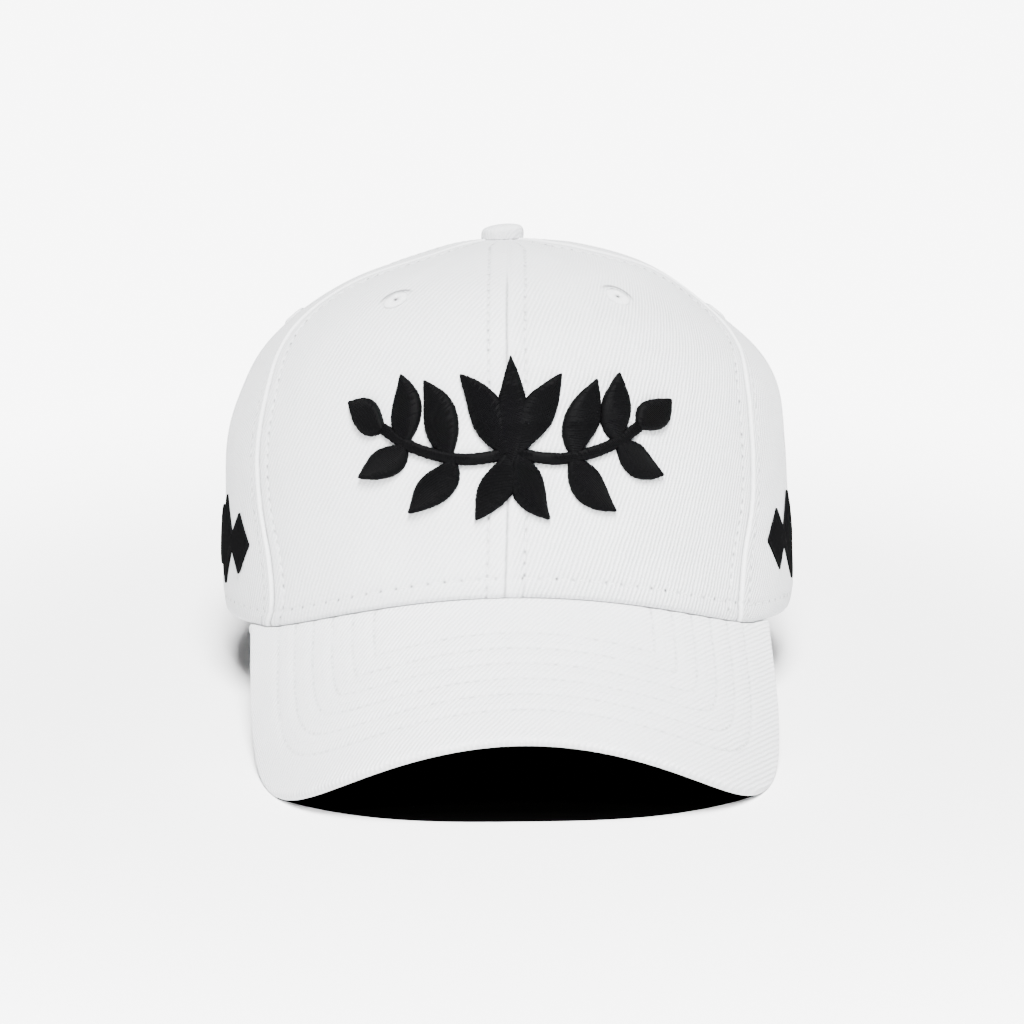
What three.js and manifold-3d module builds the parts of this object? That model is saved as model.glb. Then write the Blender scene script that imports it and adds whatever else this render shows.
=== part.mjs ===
// A structured six-panel cap with a curved peak, standing on a table by itself.
// Millimetres, +Z up. The peak points to -Y, and right is +X, as seen from in front of the cap.
// The cap is modelled upright on the plane of its rim, then tipped back until it stands on
// the two corners of its peak and on the rim at its back, which its weight presses flat.
import * as THREE from 'three';
import { mergeVertices } from 'three/addons/utils/BufferGeometryUtils.js';
import Module from 'manifold-3d';

const wasm = await Module();
wasm.setup();

const DEGREES = Math.PI / 180;
const WELD = 1e-4; // points nearer than this are one

// Cloth and clearances
const CLOTH = 2; // wall of a crown panel
const GAP = 0.3; // between pieces that are sewn together
const PRESSED = 0.45; // how much the cloth is flattened where the cap stands

// Crown
const RIM_RISE = 13.2; // how far the peak's arch lifts the rim at the front seam
const RIM_RISE_REACH = 58 * DEGREES; // where that lift has died out, round from the front
const RIM_RISE_POWER = 1.3;
const RISE_FADES_AT = 60; // height at which the panels no longer feel the lifted rim
const DENTS_FADE = 2; // sections below the button over which bulges and dents die out
const PANEL_COLUMNS = 10;

// Peak
const PEAK_LENGTH = 69.3; // along its middle
const PEAK_SLOPE = 31 * DEGREES;
const PEAK_HALF_WIDTH = 96.2; // laid flat
const PEAK_SHIFT = 1.1; // its edge sits this far to the right of the front seam
const PEAK_POWER = 3.3; // of the superellipse that its edge follows
const PEAK_BEND = 101.2; // radius of the bend across it, at the front seam
const PEAK_BEND_CHANGE = -0.18; // how that radius changes with each millimetre forward
const PEAK_REACH = 65 * DEGREES; // how far round the rim it is sewn
const PEAK_THICKNESS = 3;
const PEAK_ROUNDING = 1.2;
const PEAK_COLUMNS = 18; // each side of the middle
const PEAK_END_COLUMN = 0.985; // one more near each end
const PEAK_ROWS = 6;

// Sweatband
const BAND_CLEARANCE = 0.5;
const BAND_THICKNESS = 1.2;
const BAND_HEIGHT = 32;
const BAND_JOINT = 0.3 * DEGREES; // its ends butt together at the back
const BAND_COLUMNS = 40;
const BAND_ROWS = 3;

// Button
const BUTTON_RADIUS = 6.8;
const BUTTON_FOOT = 6.3; // radius at its foot
const BUTTON_HEIGHT = 4.5;
const BUTTON_EDGE = 1.4; // height of its widest place
const BUTTON_DOME = [[0.97, 0.6], [0.82, 0.82], [0.5, 0.94]]; // shares of its radius and height
const POST_RADIUS = 1.9;
const POST_LENGTH = 3.1;
const WASHER_RADIUS = 5.5;
const WASHER_THICKNESS = 1;
const BUTTON_SIDES = 20;

// Eyelets
const EYELET_RADIUS = 4.1;
const EYELET_BORE = 1.4;
const EYELET_HEIGHT = 1.3;
const EYELET_SHOULDER = 0.6; // where its sides end, as a share of its height
const EYELET_SLOPE = 0.25; // how far its sides lean in by there
const EYELET_HOLE = 1.7; // the hole in the cloth
const DRILL_LENGTH = 12;
const EYELET_SIDES = 14;

// Embroidery
const PUFF = 2.8; // height of the raised thread
const STEM_PUFF = 2.24;
const FLAT = 0.9; // height of the flat thread
const STITCH_EDGE = 0.45; // a stroke's height at its edge, as a share of its middle
const STITCH_TIP = 0.8; // width of a stroke's tip
const WRAP_RADIUS = 92; // of the crown, where a pattern is laid round it
const LEAF_ROWS = 6;
const STEM_ROWS = 10;
const LOZENGE_ROWS = 6;
const STEM_WIDTH = 3.6;
const LEAF_CURL = 0.13; // sideways bend of a leaf, as a share of its length
const LEAF_BELLY = 0.85; // below 1, a leaf is widest nearer to its foot

// Floor
const LEAN_LIMIT = 30 * DEGREES;
const LEAN_STEPS = 40;
const FLOOR_SIZE = 500;

// Horizontal sections of the crown, from the rim to the button. side, front and back are half
// sizes, and flat is how far the side panels are pulled straight between their seams. right and
// left are where the seams beside the front panels are, in degrees round from the front.
const SECTIONS = [
  { z: 0, side: 90.3, front: 98.0, back: 96.5, flat: 0, right: 52, left: 303.3 },
  { z: 8, side: 91.3, front: 98.2, back: 98.0, flat: 0, right: 51.4, left: 306 },
  { z: 22, side: 91.4, front: 97.6, back: 99.2, flat: 0, right: 53.2, left: 305 },
  { z: 38, side: 91.0, front: 96.4, back: 99.4, flat: 0, right: 56.8, left: 301.4 },
  { z: 53, side: 90.4, front: 94.6, back: 98.4, flat: 0.05, right: 57.7, left: 299.8 },
  { z: 66, side: 87.9, front: 92.4, back: 95.6, flat: 0.1, right: 59, left: 298.8 },
  { z: 77, side: 83.6, front: 89.4, back: 90.6, flat: 0.2, right: 62, left: 297 },
  { z: 86, side: 77.6, front: 85.6, back: 84.0, flat: 0.3, right: 69, left: 293.5 },
  { z: 94, side: 69.6, front: 80.8, back: 76.0, flat: 0.45, right: 76, left: 289.5 },
  { z: 101, side: 60.0, front: 74.0, back: 66.5, flat: 0.6, right: 77, left: 287.5 },
  { z: 107.5, side: 48.6, front: 64.5, back: 54.5, flat: 0.8, right: 72, left: 288 },
  { z: 112.5, side: 36.8, front: 52.0, back: 42.5, flat: 0.9, right: 64, left: 290 },
  { z: 116.3, side: 24.4, front: 37.0, back: 29.5, flat: 1, right: 58, left: 294 },
  { z: 118.6, side: 12.4, front: 19.5, back: 15.5, flat: 1, right: 56, left: 297 },
  { z: 119.6, side: 2.3, front: 2.3, back: 2.3, flat: 0, right: 56, left: 298.5 },
];
const TOP = SECTIONS.length - 1;

// The panels in order round the cap: the seams of each, by their azimuth from the front or their
// name in the sections, and how far its cloth puffs out between them.
const PANELS = [
  { name: 'front_panel_right', from: 0, to: 'right', puff: 0.6 },
  { name: 'side_panel_right', from: 'right', to: 119, puff: 1.5 },
  { name: 'back_panel_right', from: 119, to: 180, puff: 2.2 },
  { name: 'back_panel_left', from: 180, to: 240, puff: 2.2 },
  { name: 'side_panel_left', from: 240, to: 'left', puff: 1.5 },
  { name: 'front_panel_left', from: 'left', to: 360, puff: 0.6 },
];

// Soft bulges, and dents below zero: the azimuth from the front, the height, the spread round
// and up, and the depth.
const DENTS = [
  { azimuth: 270, z: 38, round: 24, up: 28, depth: -1.8 },
  { azimuth: 88, z: 76, round: 28, up: 14, depth: 3.2 },
  { azimuth: 340, z: 28, round: 14, up: 11, depth: -1.0 },
  { azimuth: 80, z: 109, round: 42, up: 10, depth: 2.9 },
  { azimuth: 92, z: 6, round: 40, up: 12, depth: 2.0 },
  { azimuth: 285, z: 115, round: 45, up: 6, depth: -1.4 },
  { azimuth: 270, z: 71, round: 30, up: 10, depth: -0.9 },
];

// An eyelet in each panel: its azimuth from the front, and its height.
const EYELETS = [
  { name: 'eyelet_front_right', azimuth: 35.3, z: 102 },
  { name: 'eyelet_side_right', azimuth: 98, z: 93 },
  { name: 'eyelet_back_right', azimuth: 148, z: 97 },
  { name: 'eyelet_back_left', azimuth: 212, z: 97 },
  { name: 'eyelet_side_left', azimuth: 258, z: 93 },
  { name: 'eyelet_front_left', azimuth: 323.6, z: 102 },
];

// The right half of the front sprig: the points of its stem, and its leaves, each with its place
// along the stem, the angle that it turns off the stem, its length and its width.
const STEM = [[0, 57], [15, 55], [30, 58], [42, 64]];
const LEAVES = [
  { along: 0.07, turn: 68, length: 28, width: 10.5 },
  { along: 0.43, turn: 58, length: 25, width: 10.5 },
  { along: 0.75, turn: 52, length: 21, width: 9.5 },
  { along: 0.06, turn: -56, length: 24, width: 10 },
  { along: 0.4, turn: -58, length: 23, width: 10 },
  { along: 0.75, turn: -60, length: 19, width: 9 },
  { along: 0.97, turn: 0, length: 16, width: 9 },
];
const MIDDLE_LEAF = { foot: 59, length: 27, width: 9.5 };

// The lozenges on each side, centred at an azimuth and height.
const SIDE_AZIMUTH = 79;
const SIDE_HEIGHT = 25;
const LOZENGES = [
  { from: -25, to: -8, width: 18 },
  { from: -10, to: 10, width: 27 },
  { from: 8, to: 25, width: 18 },
];

const COLOURS = {
  twill: { color: 0xf1f2f3, roughness: 0.9, metalness: 0 },
  band: { color: 0xe6e7e8, roughness: 0.95, metalness: 0 },
  thread: { color: 0x0d0e10, roughness: 0.55, metalness: 0 },
};

const clamp = THREE.MathUtils.clamp;
const lerp = THREE.MathUtils.lerp;

// Solids

// A closed wall between two grids of points. On the outer grid, the direction along a row,
// crossed with the direction from row to row, points outwards.
function wallBetween(outer, inner) {
  const rows = outer.length - 1;
  const columns = outer[0].length - 1;
  const index = [];
  const at = (side, row, column) => (side * (rows + 1) + row) * (columns + 1) + column;
  const quad = (a, b, c, d) => index.push(a, b, c, a, c, d);
  for (let r = 0; r < rows; r++) {
    for (let c = 0; c < columns; c++) {
      quad(at(0, r, c), at(0, r, c + 1), at(0, r + 1, c + 1), at(0, r + 1, c));
      quad(at(1, r, c), at(1, r + 1, c), at(1, r + 1, c + 1), at(1, r, c + 1));
    }
    quad(at(0, r, 0), at(0, r + 1, 0), at(1, r + 1, 0), at(1, r, 0));
    quad(at(0, r, columns), at(1, r, columns), at(1, r + 1, columns), at(0, r + 1, columns));
  }
  for (let c = 0; c < columns; c++) {
    quad(at(0, 0, c), at(1, 0, c), at(1, 0, c + 1), at(0, 0, c + 1));
    quad(at(0, rows, c), at(0, rows, c + 1), at(1, rows, c + 1), at(1, rows, c));
  }
  const positions = [...outer.flat(), ...inner.flat()].flatMap((p) => [p.x, p.y, p.z]);
  const geometry = new THREE.BufferGeometry();
  geometry.setAttribute('position', new THREE.Float32BufferAttribute(positions, 3));
  geometry.setIndex(index);
  return geometry;
}

function solidOf(geometry) {
  const bare = geometry.clone();
  bare.deleteAttribute('normal');
  bare.deleteAttribute('uv');
  const merged = mergeVertices(bare, WELD);
  return new wasm.Manifold(new wasm.Mesh({
    numProp: 3,
    vertProperties: new Float32Array(merged.attributes.position.array),
    triVerts: new Uint32Array(merged.index.array),
  }));
}

function meshOf(name, shape, colour) {
  let geometry = shape;
  if (!shape.isBufferGeometry) {
    const { vertProperties, triVerts } = shape.getMesh();
    geometry = new THREE.BufferGeometry();
    geometry.setAttribute('position', new THREE.BufferAttribute(vertProperties, 3));
    geometry.setIndex(new THREE.BufferAttribute(triVerts, 1));
  }
  geometry.computeVertexNormals();
  const mesh = new THREE.Mesh(geometry, new THREE.MeshStandardMaterial(COLOURS[colour]));
  mesh.name = name;
  return mesh;
}

// The crown's surface. t counts sections from the rim, 0, to the button, TOP, and out is the
// distance from the outer face of the cloth.

function sectionAt(t) {
  const low = clamp(Math.floor(t), 0, TOP - 1);
  const mixed = {};
  for (const key of Object.keys(SECTIONS[low])) {
    mixed[key] = lerp(SECTIONS[low][key], SECTIONS[low + 1][key], t - low);
  }
  return mixed;
}

function sectionAtHeight(z) {
  const low = SECTIONS.findIndex((_, i) => i === TOP - 1 || SECTIONS[i + 1].z > z);
  return low + (z - SECTIONS[low].z) / (SECTIONS[low + 1].z - SECTIONS[low].z);
}

const fullTurn = (azimuth) => THREE.MathUtils.euclideanModulo(azimuth, 2 * Math.PI);

// The angle between two azimuths, whichever way round is shorter.
function between(azimuth, other) {
  const turn = fullTurn(azimuth - other);
  return Math.min(turn, 2 * Math.PI - turn);
}

function rimRise(azimuth) {
  const share = clamp(between(azimuth, 0) / RIM_RISE_REACH, 0, 1);
  return RIM_RISE * Math.cos(share * Math.PI / 2) ** RIM_RISE_POWER;
}

// A seam is a number of degrees, or its name in the sections.
function seamAzimuth(seam, t) {
  return (sectionAt(t)[seam] ?? seam) * DEGREES;
}

// The panel at an azimuth, the azimuths of its seams, and the share of the way between them.
function panelAt(azimuth, t) {
  const turn = fullTurn(azimuth);
  const panel = PANELS.find(({ to }) => turn < seamAzimuth(to, t)) ?? PANELS[0];
  const from = seamAzimuth(panel.from, t);
  const to = seamAzimuth(panel.to, t);
  return { panel, from, to, share: clamp((turn - from) / (to - from), 0, 1) };
}

// A point of the crown before its panels puff out. On a side panel, a flat of 1 runs straight
// from seam to seam.
function smoothCrown(azimuth, t, flat) {
  const section = sectionAt(t);
  const { panel, from, to, share } = panelAt(azimuth, t);
  let wide = Math.sin(azimuth);
  if (panel.name.startsWith('side')) {
    wide = lerp(wide, lerp(Math.sin(from), Math.sin(to), share), flat * section.flat);
  }
  const length = between(azimuth, 0) < Math.PI / 2 ? section.front : section.back;
  return new THREE.Vector3(
    section.side * wide,
    -length * Math.cos(azimuth),
    section.z + rimRise(azimuth) * Math.max(0, 1 - section.z / RISE_FADES_AT) ** 2,
  );
}

function crownNormal(azimuth, t) {
  const turn = 2 * DEGREES;
  const step = 0.5;
  const along = smoothCrown(azimuth + turn, t, 0).sub(smoothCrown(azimuth - turn, t, 0));
  const up = smoothCrown(azimuth, Math.min(t + step, TOP), 0);
  up.sub(smoothCrown(azimuth, Math.max(t - step, 0), 0));
  return along.cross(up).normalize();
}

function puffAt(azimuth, t) {
  const { panel, share } = panelAt(azimuth, t);
  return panel.puff * Math.sin(share * Math.PI) * Math.sin(t / TOP * Math.PI);
}

function dentAt(azimuth, t) {
  const z = sectionAt(t).z;
  let sum = 0;
  for (const dent of DENTS) {
    const round = between(azimuth, dent.azimuth * DEGREES) / (dent.round * DEGREES);
    sum += dent.depth * Math.exp(-(round ** 2) - ((z - dent.z) / dent.up) ** 2);
  }
  return sum * clamp((TOP - t) / DENTS_FADE, 0, 1);
}

function crownPoint(azimuth, t, out = 0, puffed = true) {
  const bulge = dentAt(azimuth, t) + (puffed ? puffAt(azimuth, t) : 0);
  return smoothCrown(azimuth, t, 1).addScaledVector(crownNormal(azimuth, t), bulge + out);
}

function panelSolid(panel) {
  const outer = [];
  const inner = [];
  for (let t = 0; t <= TOP; t++) {
    const from = seamAzimuth(panel.from, t);
    const to = seamAzimuth(panel.to, t);
    const place = crownPoint(from, t, -CLOTH);
    const clear = Math.asin(GAP / 2 / Math.hypot(place.x, place.y));
    const azimuths = [];
    for (let c = 0; c <= PANEL_COLUMNS; c++) {
      azimuths.push(lerp(from + clear, to - clear, c / PANEL_COLUMNS));
    }
    outer.push(azimuths.map((azimuth) => crownPoint(azimuth, t)));
    inner.push(azimuths.map((azimuth) => crownPoint(azimuth, t, -CLOTH)));
  }
  return solidOf(wallBetween(outer, inner));
}

// Stands an object on the crown's bulging cloth, with its Z pointing out.
function standOnCrown(object, azimuth, t, out) {
  const turn = 3 * DEGREES;
  const step = 0.4;
  const along = crownPoint(azimuth + turn, t).sub(crownPoint(azimuth - turn, t));
  const up = crownPoint(azimuth, t + step).sub(crownPoint(azimuth, t - step));
  const normal = along.cross(up).normalize();
  object.position.copy(crownPoint(azimuth, t)).addScaledVector(normal, out);
  object.quaternion.setFromUnitVectors(new THREE.Vector3(0, 0, 1), normal);
  object.updateMatrix();
}

function eyeletHole(eyelet) {
  const hole = new THREE.CylinderGeometry(EYELET_HOLE, EYELET_HOLE, DRILL_LENGTH, EYELET_SIDES);
  hole.rotateX(Math.PI / 2);
  const stand = new THREE.Object3D();
  standOnCrown(stand, eyelet.azimuth * DEGREES, sectionAtHeight(eyelet.z), 0);
  return solidOf(hole.applyMatrix4(stand.matrix));
}

function eyeletMesh(eyelet) {
  const middle = (EYELET_RADIUS + EYELET_BORE) / 2;
  const profile = [
    [EYELET_BORE, 0],
    [EYELET_RADIUS, 0],
    [EYELET_RADIUS - EYELET_SLOPE, EYELET_HEIGHT * EYELET_SHOULDER],
    [middle, EYELET_HEIGHT],
    [EYELET_BORE + EYELET_SLOPE, EYELET_HEIGHT * EYELET_SHOULDER],
    [EYELET_BORE, 0],
  ].map(([radius, z]) => new THREE.Vector2(radius, z));
  const ring = new THREE.LatheGeometry(profile, EYELET_SIDES).rotateX(Math.PI / 2);
  const mesh = meshOf(eyelet.name, solidOf(ring), 'twill');
  standOnCrown(mesh, eyelet.azimuth * DEGREES, sectionAtHeight(eyelet.z), GAP);
  return mesh;
}

// The peak: a board bent over a drum whose axis slopes forward, sewn under the rim.

const PEAK_ROOT = new THREE.Vector3(0, -SECTIONS[0].front, RIM_RISE);
const PEAK_FORWARD = new THREE.Vector3(0, -Math.cos(PEAK_SLOPE), -Math.sin(PEAK_SLOPE));
const PEAK_UP = new THREE.Vector3(0, -Math.sin(PEAK_SLOPE), Math.cos(PEAK_SLOPE));

const bendAt = (forward) => PEAK_BEND + PEAK_BEND_CHANGE * forward;

// A point of the bent board: aside is measured over the bend, and down through the board.
function boardPoint(aside, forward, down = 0) {
  const bend = bendAt(forward);
  const angle = aside / bend;
  return PEAK_ROOT.clone()
    .addScaledVector(PEAK_FORWARD, forward)
    .addScaledVector(PEAK_UP, (bend - down) * Math.cos(angle) - bend)
    .add(new THREE.Vector3((bend - down) * Math.sin(angle), 0, 0));
}

// across runs from -1 to 1, and along from the rim, 0, to the edge, 1. Beside the rim, down is
// straight down.
function peakPoint(across, along, down) {
  const rim = crownPoint(across * PEAK_REACH, 0, GAP);
  rim.z -= GAP;
  const start = { forward: rim.clone().sub(PEAK_ROOT).dot(PEAK_FORWARD) };
  start.aside = bendAt(start.forward) * Math.asin(rim.x / bendAt(start.forward));
  const angle = Math.abs(across) * Math.PI / 2;
  const edge = {
    aside: Math.sign(across) * PEAK_HALF_WIDTH * Math.sin(angle) ** (2 / PEAK_POWER),
    forward: PEAK_LENGTH * Math.max(0, Math.cos(angle)) ** (2 / PEAK_POWER),
  };
  const aside = lerp(start.aside, edge.aside, along);
  const forward = lerp(start.forward, edge.forward, along);
  const surface = boardPoint(aside, forward);
  const through = boardPoint(aside, forward, down).sub(surface);
  through.lerp(new THREE.Vector3(0, 0, -down), Math.max(0, 1 - along * PEAK_ROWS));
  const miss = rim.sub(boardPoint(start.aside, start.forward));
  through.x += PEAK_SHIFT * along;
  return surface.add(through).addScaledVector(miss, (1 - along) ** 2);
}

// The edge of the board that is sewn in below the rim's wall.
function peakTuck(across, down) {
  const place = crownPoint(across * PEAK_REACH, 0, -CLOTH);
  place.z = crownPoint(across * PEAK_REACH, 0).z - GAP - down;
  return place;
}

function peakSolid() {
  const across = [-1, -PEAK_END_COLUMN];
  for (let c = 1 - PEAK_COLUMNS; c < PEAK_COLUMNS; c++) across.push(c / PEAK_COLUMNS);
  across.push(PEAK_END_COLUMN, 1);
  const along = [];
  for (let r = 0; r < PEAK_ROWS; r++) along.push(r / PEAK_ROWS);
  along.push(1 - PEAK_ROUNDING / PEAK_LENGTH, 1);
  const face = (inside, atEdge) => [
    across.map((a) => peakTuck(a, Math.abs(a) === 1 ? atEdge : inside)),
    ...along.map((f) => across.map((a) => {
      const onEdge = f === 1 || Math.abs(a) === 1;
      return peakPoint(a, f, onEdge ? atEdge : inside);
    })),
  ];
  // Rows run forward here, so the lower face is the one that the wall calls outer.
  const lower = face(PEAK_THICKNESS, PEAK_THICKNESS - PEAK_ROUNDING);
  return solidOf(wallBetween(lower, face(0, PEAK_ROUNDING)));
}

function sweatbandMesh() {
  const face = (out) => {
    const rows = [];
    for (let r = 0; r <= BAND_ROWS; r++) {
      const t = sectionAtHeight(BAND_HEIGHT * r / BAND_ROWS);
      const row = [];
      for (let c = 0; c <= BAND_COLUMNS; c++) {
        const end = Math.PI - BAND_JOINT;
        row.push(crownPoint(lerp(-end, end, c / BAND_COLUMNS), t, out, false));
      }
      rows.push(row);
    }
    return rows;
  };
  const out = -CLOTH - BAND_CLEARANCE;
  return meshOf('sweatband', wallBetween(face(out), face(out - BAND_THICKNESS)), 'band');
}

// The button's post runs down through the crown's top to a washer under the cloth.
function buttonMesh() {
  const washerTop = -POST_LENGTH;
  const profile = [
    [0, washerTop - WASHER_THICKNESS],
    [WASHER_RADIUS, washerTop - WASHER_THICKNESS],
    [WASHER_RADIUS, washerTop],
    [POST_RADIUS, washerTop],
    [POST_RADIUS, 0],
    [BUTTON_FOOT, 0],
    [BUTTON_RADIUS, BUTTON_EDGE],
    ...BUTTON_DOME.map(([reach, rise]) => [BUTTON_RADIUS * reach, BUTTON_HEIGHT * rise]),
    [0, BUTTON_HEIGHT],
  ].map(([radius, z]) => new THREE.Vector2(radius, z));
  const turned = new THREE.LatheGeometry(profile, BUTTON_SIDES).rotateX(Math.PI / 2);
  const mesh = meshOf('top_button', solidOf(turned), 'twill');
  mesh.position.z = SECTIONS[TOP].z + GAP;
  return mesh;
}

// Embroidery. A pattern is drawn flat, u round the crown and z up it, then laid on the cloth.

// A stroke of thread over a path of [u, z], as wide as its width says at each share of the way.
function strokeSolid(path, widthAt, rows, azimuth, height) {
  const outer = [];
  const inner = [];
  for (let r = 0; r <= rows; r++) {
    const share = r / rows;
    const middle = path.getPoint(share);
    const ahead = path.getTangent(share);
    const half = (STITCH_TIP + widthAt(share)) / 2;
    const crest = STITCH_EDGE + (1 - STITCH_EDGE) * Math.sqrt(Math.sin(share * Math.PI));
    const outerRow = [];
    const innerRow = [];
    for (const side of [-1, 0, 1]) {
      const u = middle.x + side * half * ahead.y;
      const t = sectionAtHeight(middle.y - side * half * ahead.x);
      const dome = side ? STITCH_EDGE : crest;
      const place = azimuth * DEGREES + u / WRAP_RADIUS;
      outerRow.push(crownPoint(place, t, GAP + height * dome));
      innerRow.push(crownPoint(place, t, GAP));
    }
    outer.push(outerRow);
    inner.push(innerRow);
  }
  return solidOf(wallBetween(outer, inner));
}

function leafSolid(foot, angle, leaf, curl) {
  const tip = new THREE.Vector2(Math.cos(angle), Math.sin(angle)).multiplyScalar(leaf.length);
  const bend = new THREE.Vector2(-tip.y, tip.x).multiplyScalar(curl * LEAF_CURL);
  const middle = foot.clone().addScaledVector(tip, 0.5).add(bend);
  const path = new THREE.QuadraticBezierCurve(foot, middle, foot.clone().add(tip));
  const widthAt = (share) => leaf.width * Math.sin(Math.PI * share ** LEAF_BELLY);
  return strokeSolid(path, widthAt, LEAF_ROWS, 0, PUFF);
}

function frontOrnamentMesh() {
  const foot = new THREE.Vector2(0, MIDDLE_LEAF.foot);
  let solid = leafSolid(foot, Math.PI / 2, MIDDLE_LEAF, 0);
  for (const side of [-1, 1]) {
    const points = STEM.map(([u, z]) => new THREE.Vector2(side * u, z));
    const stem = new THREE.SplineCurve(points);
    const widthAt = () => STEM_WIDTH - STITCH_TIP;
    solid = solid.add(strokeSolid(stem, widthAt, STEM_ROWS, 0, STEM_PUFF));
    for (const leaf of LEAVES) {
      const ahead = stem.getTangent(leaf.along).angle();
      const angle = ahead + side * leaf.turn * DEGREES;
      const curl = side * Math.sign(leaf.turn);
      solid = solid.add(leafSolid(stem.getPoint(leaf.along), angle, leaf, curl));
    }
  }
  return meshOf('front_ornament', solid, 'thread');
}

function sideMotifMesh(name, azimuth) {
  const solids = LOZENGES.map((lozenge) => {
    const ends = [lozenge.from, lozenge.to].map((u) => new THREE.Vector2(u, SIDE_HEIGHT));
    const widthAt = (share) => lozenge.width * (1 - Math.abs(2 * share - 1));
    return strokeSolid(new THREE.LineCurve(...ends), widthAt, LOZENGE_ROWS, azimuth, FLAT);
  });
  return meshOf(name, solids.reduce((sum, solid) => sum.add(solid)), 'thread');
}

// The cap, tipped back by its lean until peak and rim stand on one floor.

// The lowest height of a solid when the cap leans back.
function lowest(solid, lean) {
  const points = solid.getMesh().vertProperties;
  let least = Infinity;
  for (let i = 0; i < points.length; i += 3) {
    least = Math.min(least, points[i + 2] * Math.cos(lean) - points[i + 1] * Math.sin(lean));
  }
  return least;
}

function findLean(front, back) {
  let low = 0;
  let high = LEAN_LIMIT;
  for (let step = 0; step < LEAN_STEPS; step++) {
    const lean = (low + high) / 2;
    if (lowest(front, lean) > lowest(back, lean)) high = lean;
    else low = lean;
  }
  return low;
}

const holes = EYELETS.map(eyeletHole);
const panels = PANELS.map((panel, i) => panelSolid(panel).subtract(holes[i]));
const peak = peakSolid();
const backPanel = PANELS.findIndex((panel) => panel.name === 'back_panel_right');
const lean = findLean(peak, panels[backPanel]);
const floorHeight = lowest(peak, lean) + PRESSED;

const floorBlock = new THREE.BoxGeometry(FLOOR_SIZE, FLOOR_SIZE, FLOOR_SIZE);
floorBlock.translate(0, 0, floorHeight - FLOOR_SIZE / 2).rotateX(lean);
const floor = solidOf(floorBlock);

const cap = new THREE.Group();
PANELS.forEach((panel, i) => {
  const solid = panel.name.startsWith('back') ? panels[i].subtract(floor) : panels[i];
  cap.add(meshOf(panel.name, solid, 'twill'));
});
cap.add(
  meshOf('peak', peak.subtract(floor), 'twill'),
  sweatbandMesh(),
  buttonMesh(),
  ...EYELETS.map(eyeletMesh),
  frontOrnamentMesh(),
  sideMotifMesh('side_motif_right', SIDE_AZIMUTH),
  sideMotifMesh('side_motif_left', -SIDE_AZIMUTH),
);
cap.rotation.x = -lean;
cap.updateMatrixWorld(true);

// The origin is under the middle of the cap's box, on the floor.
const box = new THREE.Box3().setFromObject(cap, true);
cap.position.set(
  -(box.min.x + box.max.x) / 2,
  -(box.min.y + box.max.y) / 2,
  -floorHeight,
);

const model = new THREE.Group();
model.add(cap);

export default model;
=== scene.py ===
from math import cos, pi, radians, sin, tau

import bpy
import numpy as np
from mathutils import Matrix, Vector, kdtree


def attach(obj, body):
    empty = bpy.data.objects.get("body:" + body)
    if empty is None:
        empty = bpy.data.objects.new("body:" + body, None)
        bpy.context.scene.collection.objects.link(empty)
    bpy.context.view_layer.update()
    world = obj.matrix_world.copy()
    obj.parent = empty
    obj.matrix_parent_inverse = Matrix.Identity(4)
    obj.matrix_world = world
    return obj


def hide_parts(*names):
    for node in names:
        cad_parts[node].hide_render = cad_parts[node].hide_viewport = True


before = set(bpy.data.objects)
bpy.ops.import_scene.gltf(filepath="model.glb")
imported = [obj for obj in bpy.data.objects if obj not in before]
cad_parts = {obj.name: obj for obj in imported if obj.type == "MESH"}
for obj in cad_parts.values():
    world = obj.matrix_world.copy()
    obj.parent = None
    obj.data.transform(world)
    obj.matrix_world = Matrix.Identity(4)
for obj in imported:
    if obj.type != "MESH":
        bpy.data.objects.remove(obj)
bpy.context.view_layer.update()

# Camera
# It looks slightly down at the front of the cap, from a long way off.
VIEW_TARGET = Vector((0.001685, 0.031876, 0.049544))
VIEW_DISTANCE = 1.6
VIEW_AZIMUTH = radians(-1.7)
VIEW_HEIGHT = radians(16.81)
FOCAL_LENGTH = 173.25
SENSOR_WIDTH = 36
CLIP_END = 30

view_side = Vector((sin(VIEW_AZIMUTH), -cos(VIEW_AZIMUTH), 0)) * cos(VIEW_HEIGHT)
view_line = view_side + Vector((0, 0, sin(VIEW_HEIGHT)))
bpy.ops.object.camera_add(location=VIEW_TARGET + view_line * VIEW_DISTANCE)
camera = bpy.context.active_object
camera.name = "camera"
camera.rotation_euler = view_line.to_track_quat("Z", "Y").to_euler()
camera.data.lens = FOCAL_LENGTH
camera.data.sensor_width = SENSOR_WIDTH
camera.data.clip_end = CLIP_END
bpy.context.scene.camera = camera

# Crown panels
# Six wedges of white cotton twill over a stiff backing, sewn edge to edge under the button.
# Each seam's turned edges lie flat to both sides of it, held by a row of stitches 6 mm away,
# and a longer stitch above the rim holds the sweatband inside.
LEAN = radians(11.8055)
CAP_PLACE = np.array((-0.915, 25.5547, 19.2976))
CLOTH_WALL = 2.0

# The rim rises at the front, over the peak, and the crown above it shows this less and less.
RIM_RISE = 13.2
RIM_RISE_REACH = radians(58)
RIM_RISE_POWER = 1.3
RISE_FADES_AT = 60
DENTS_FADE = 2

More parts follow.
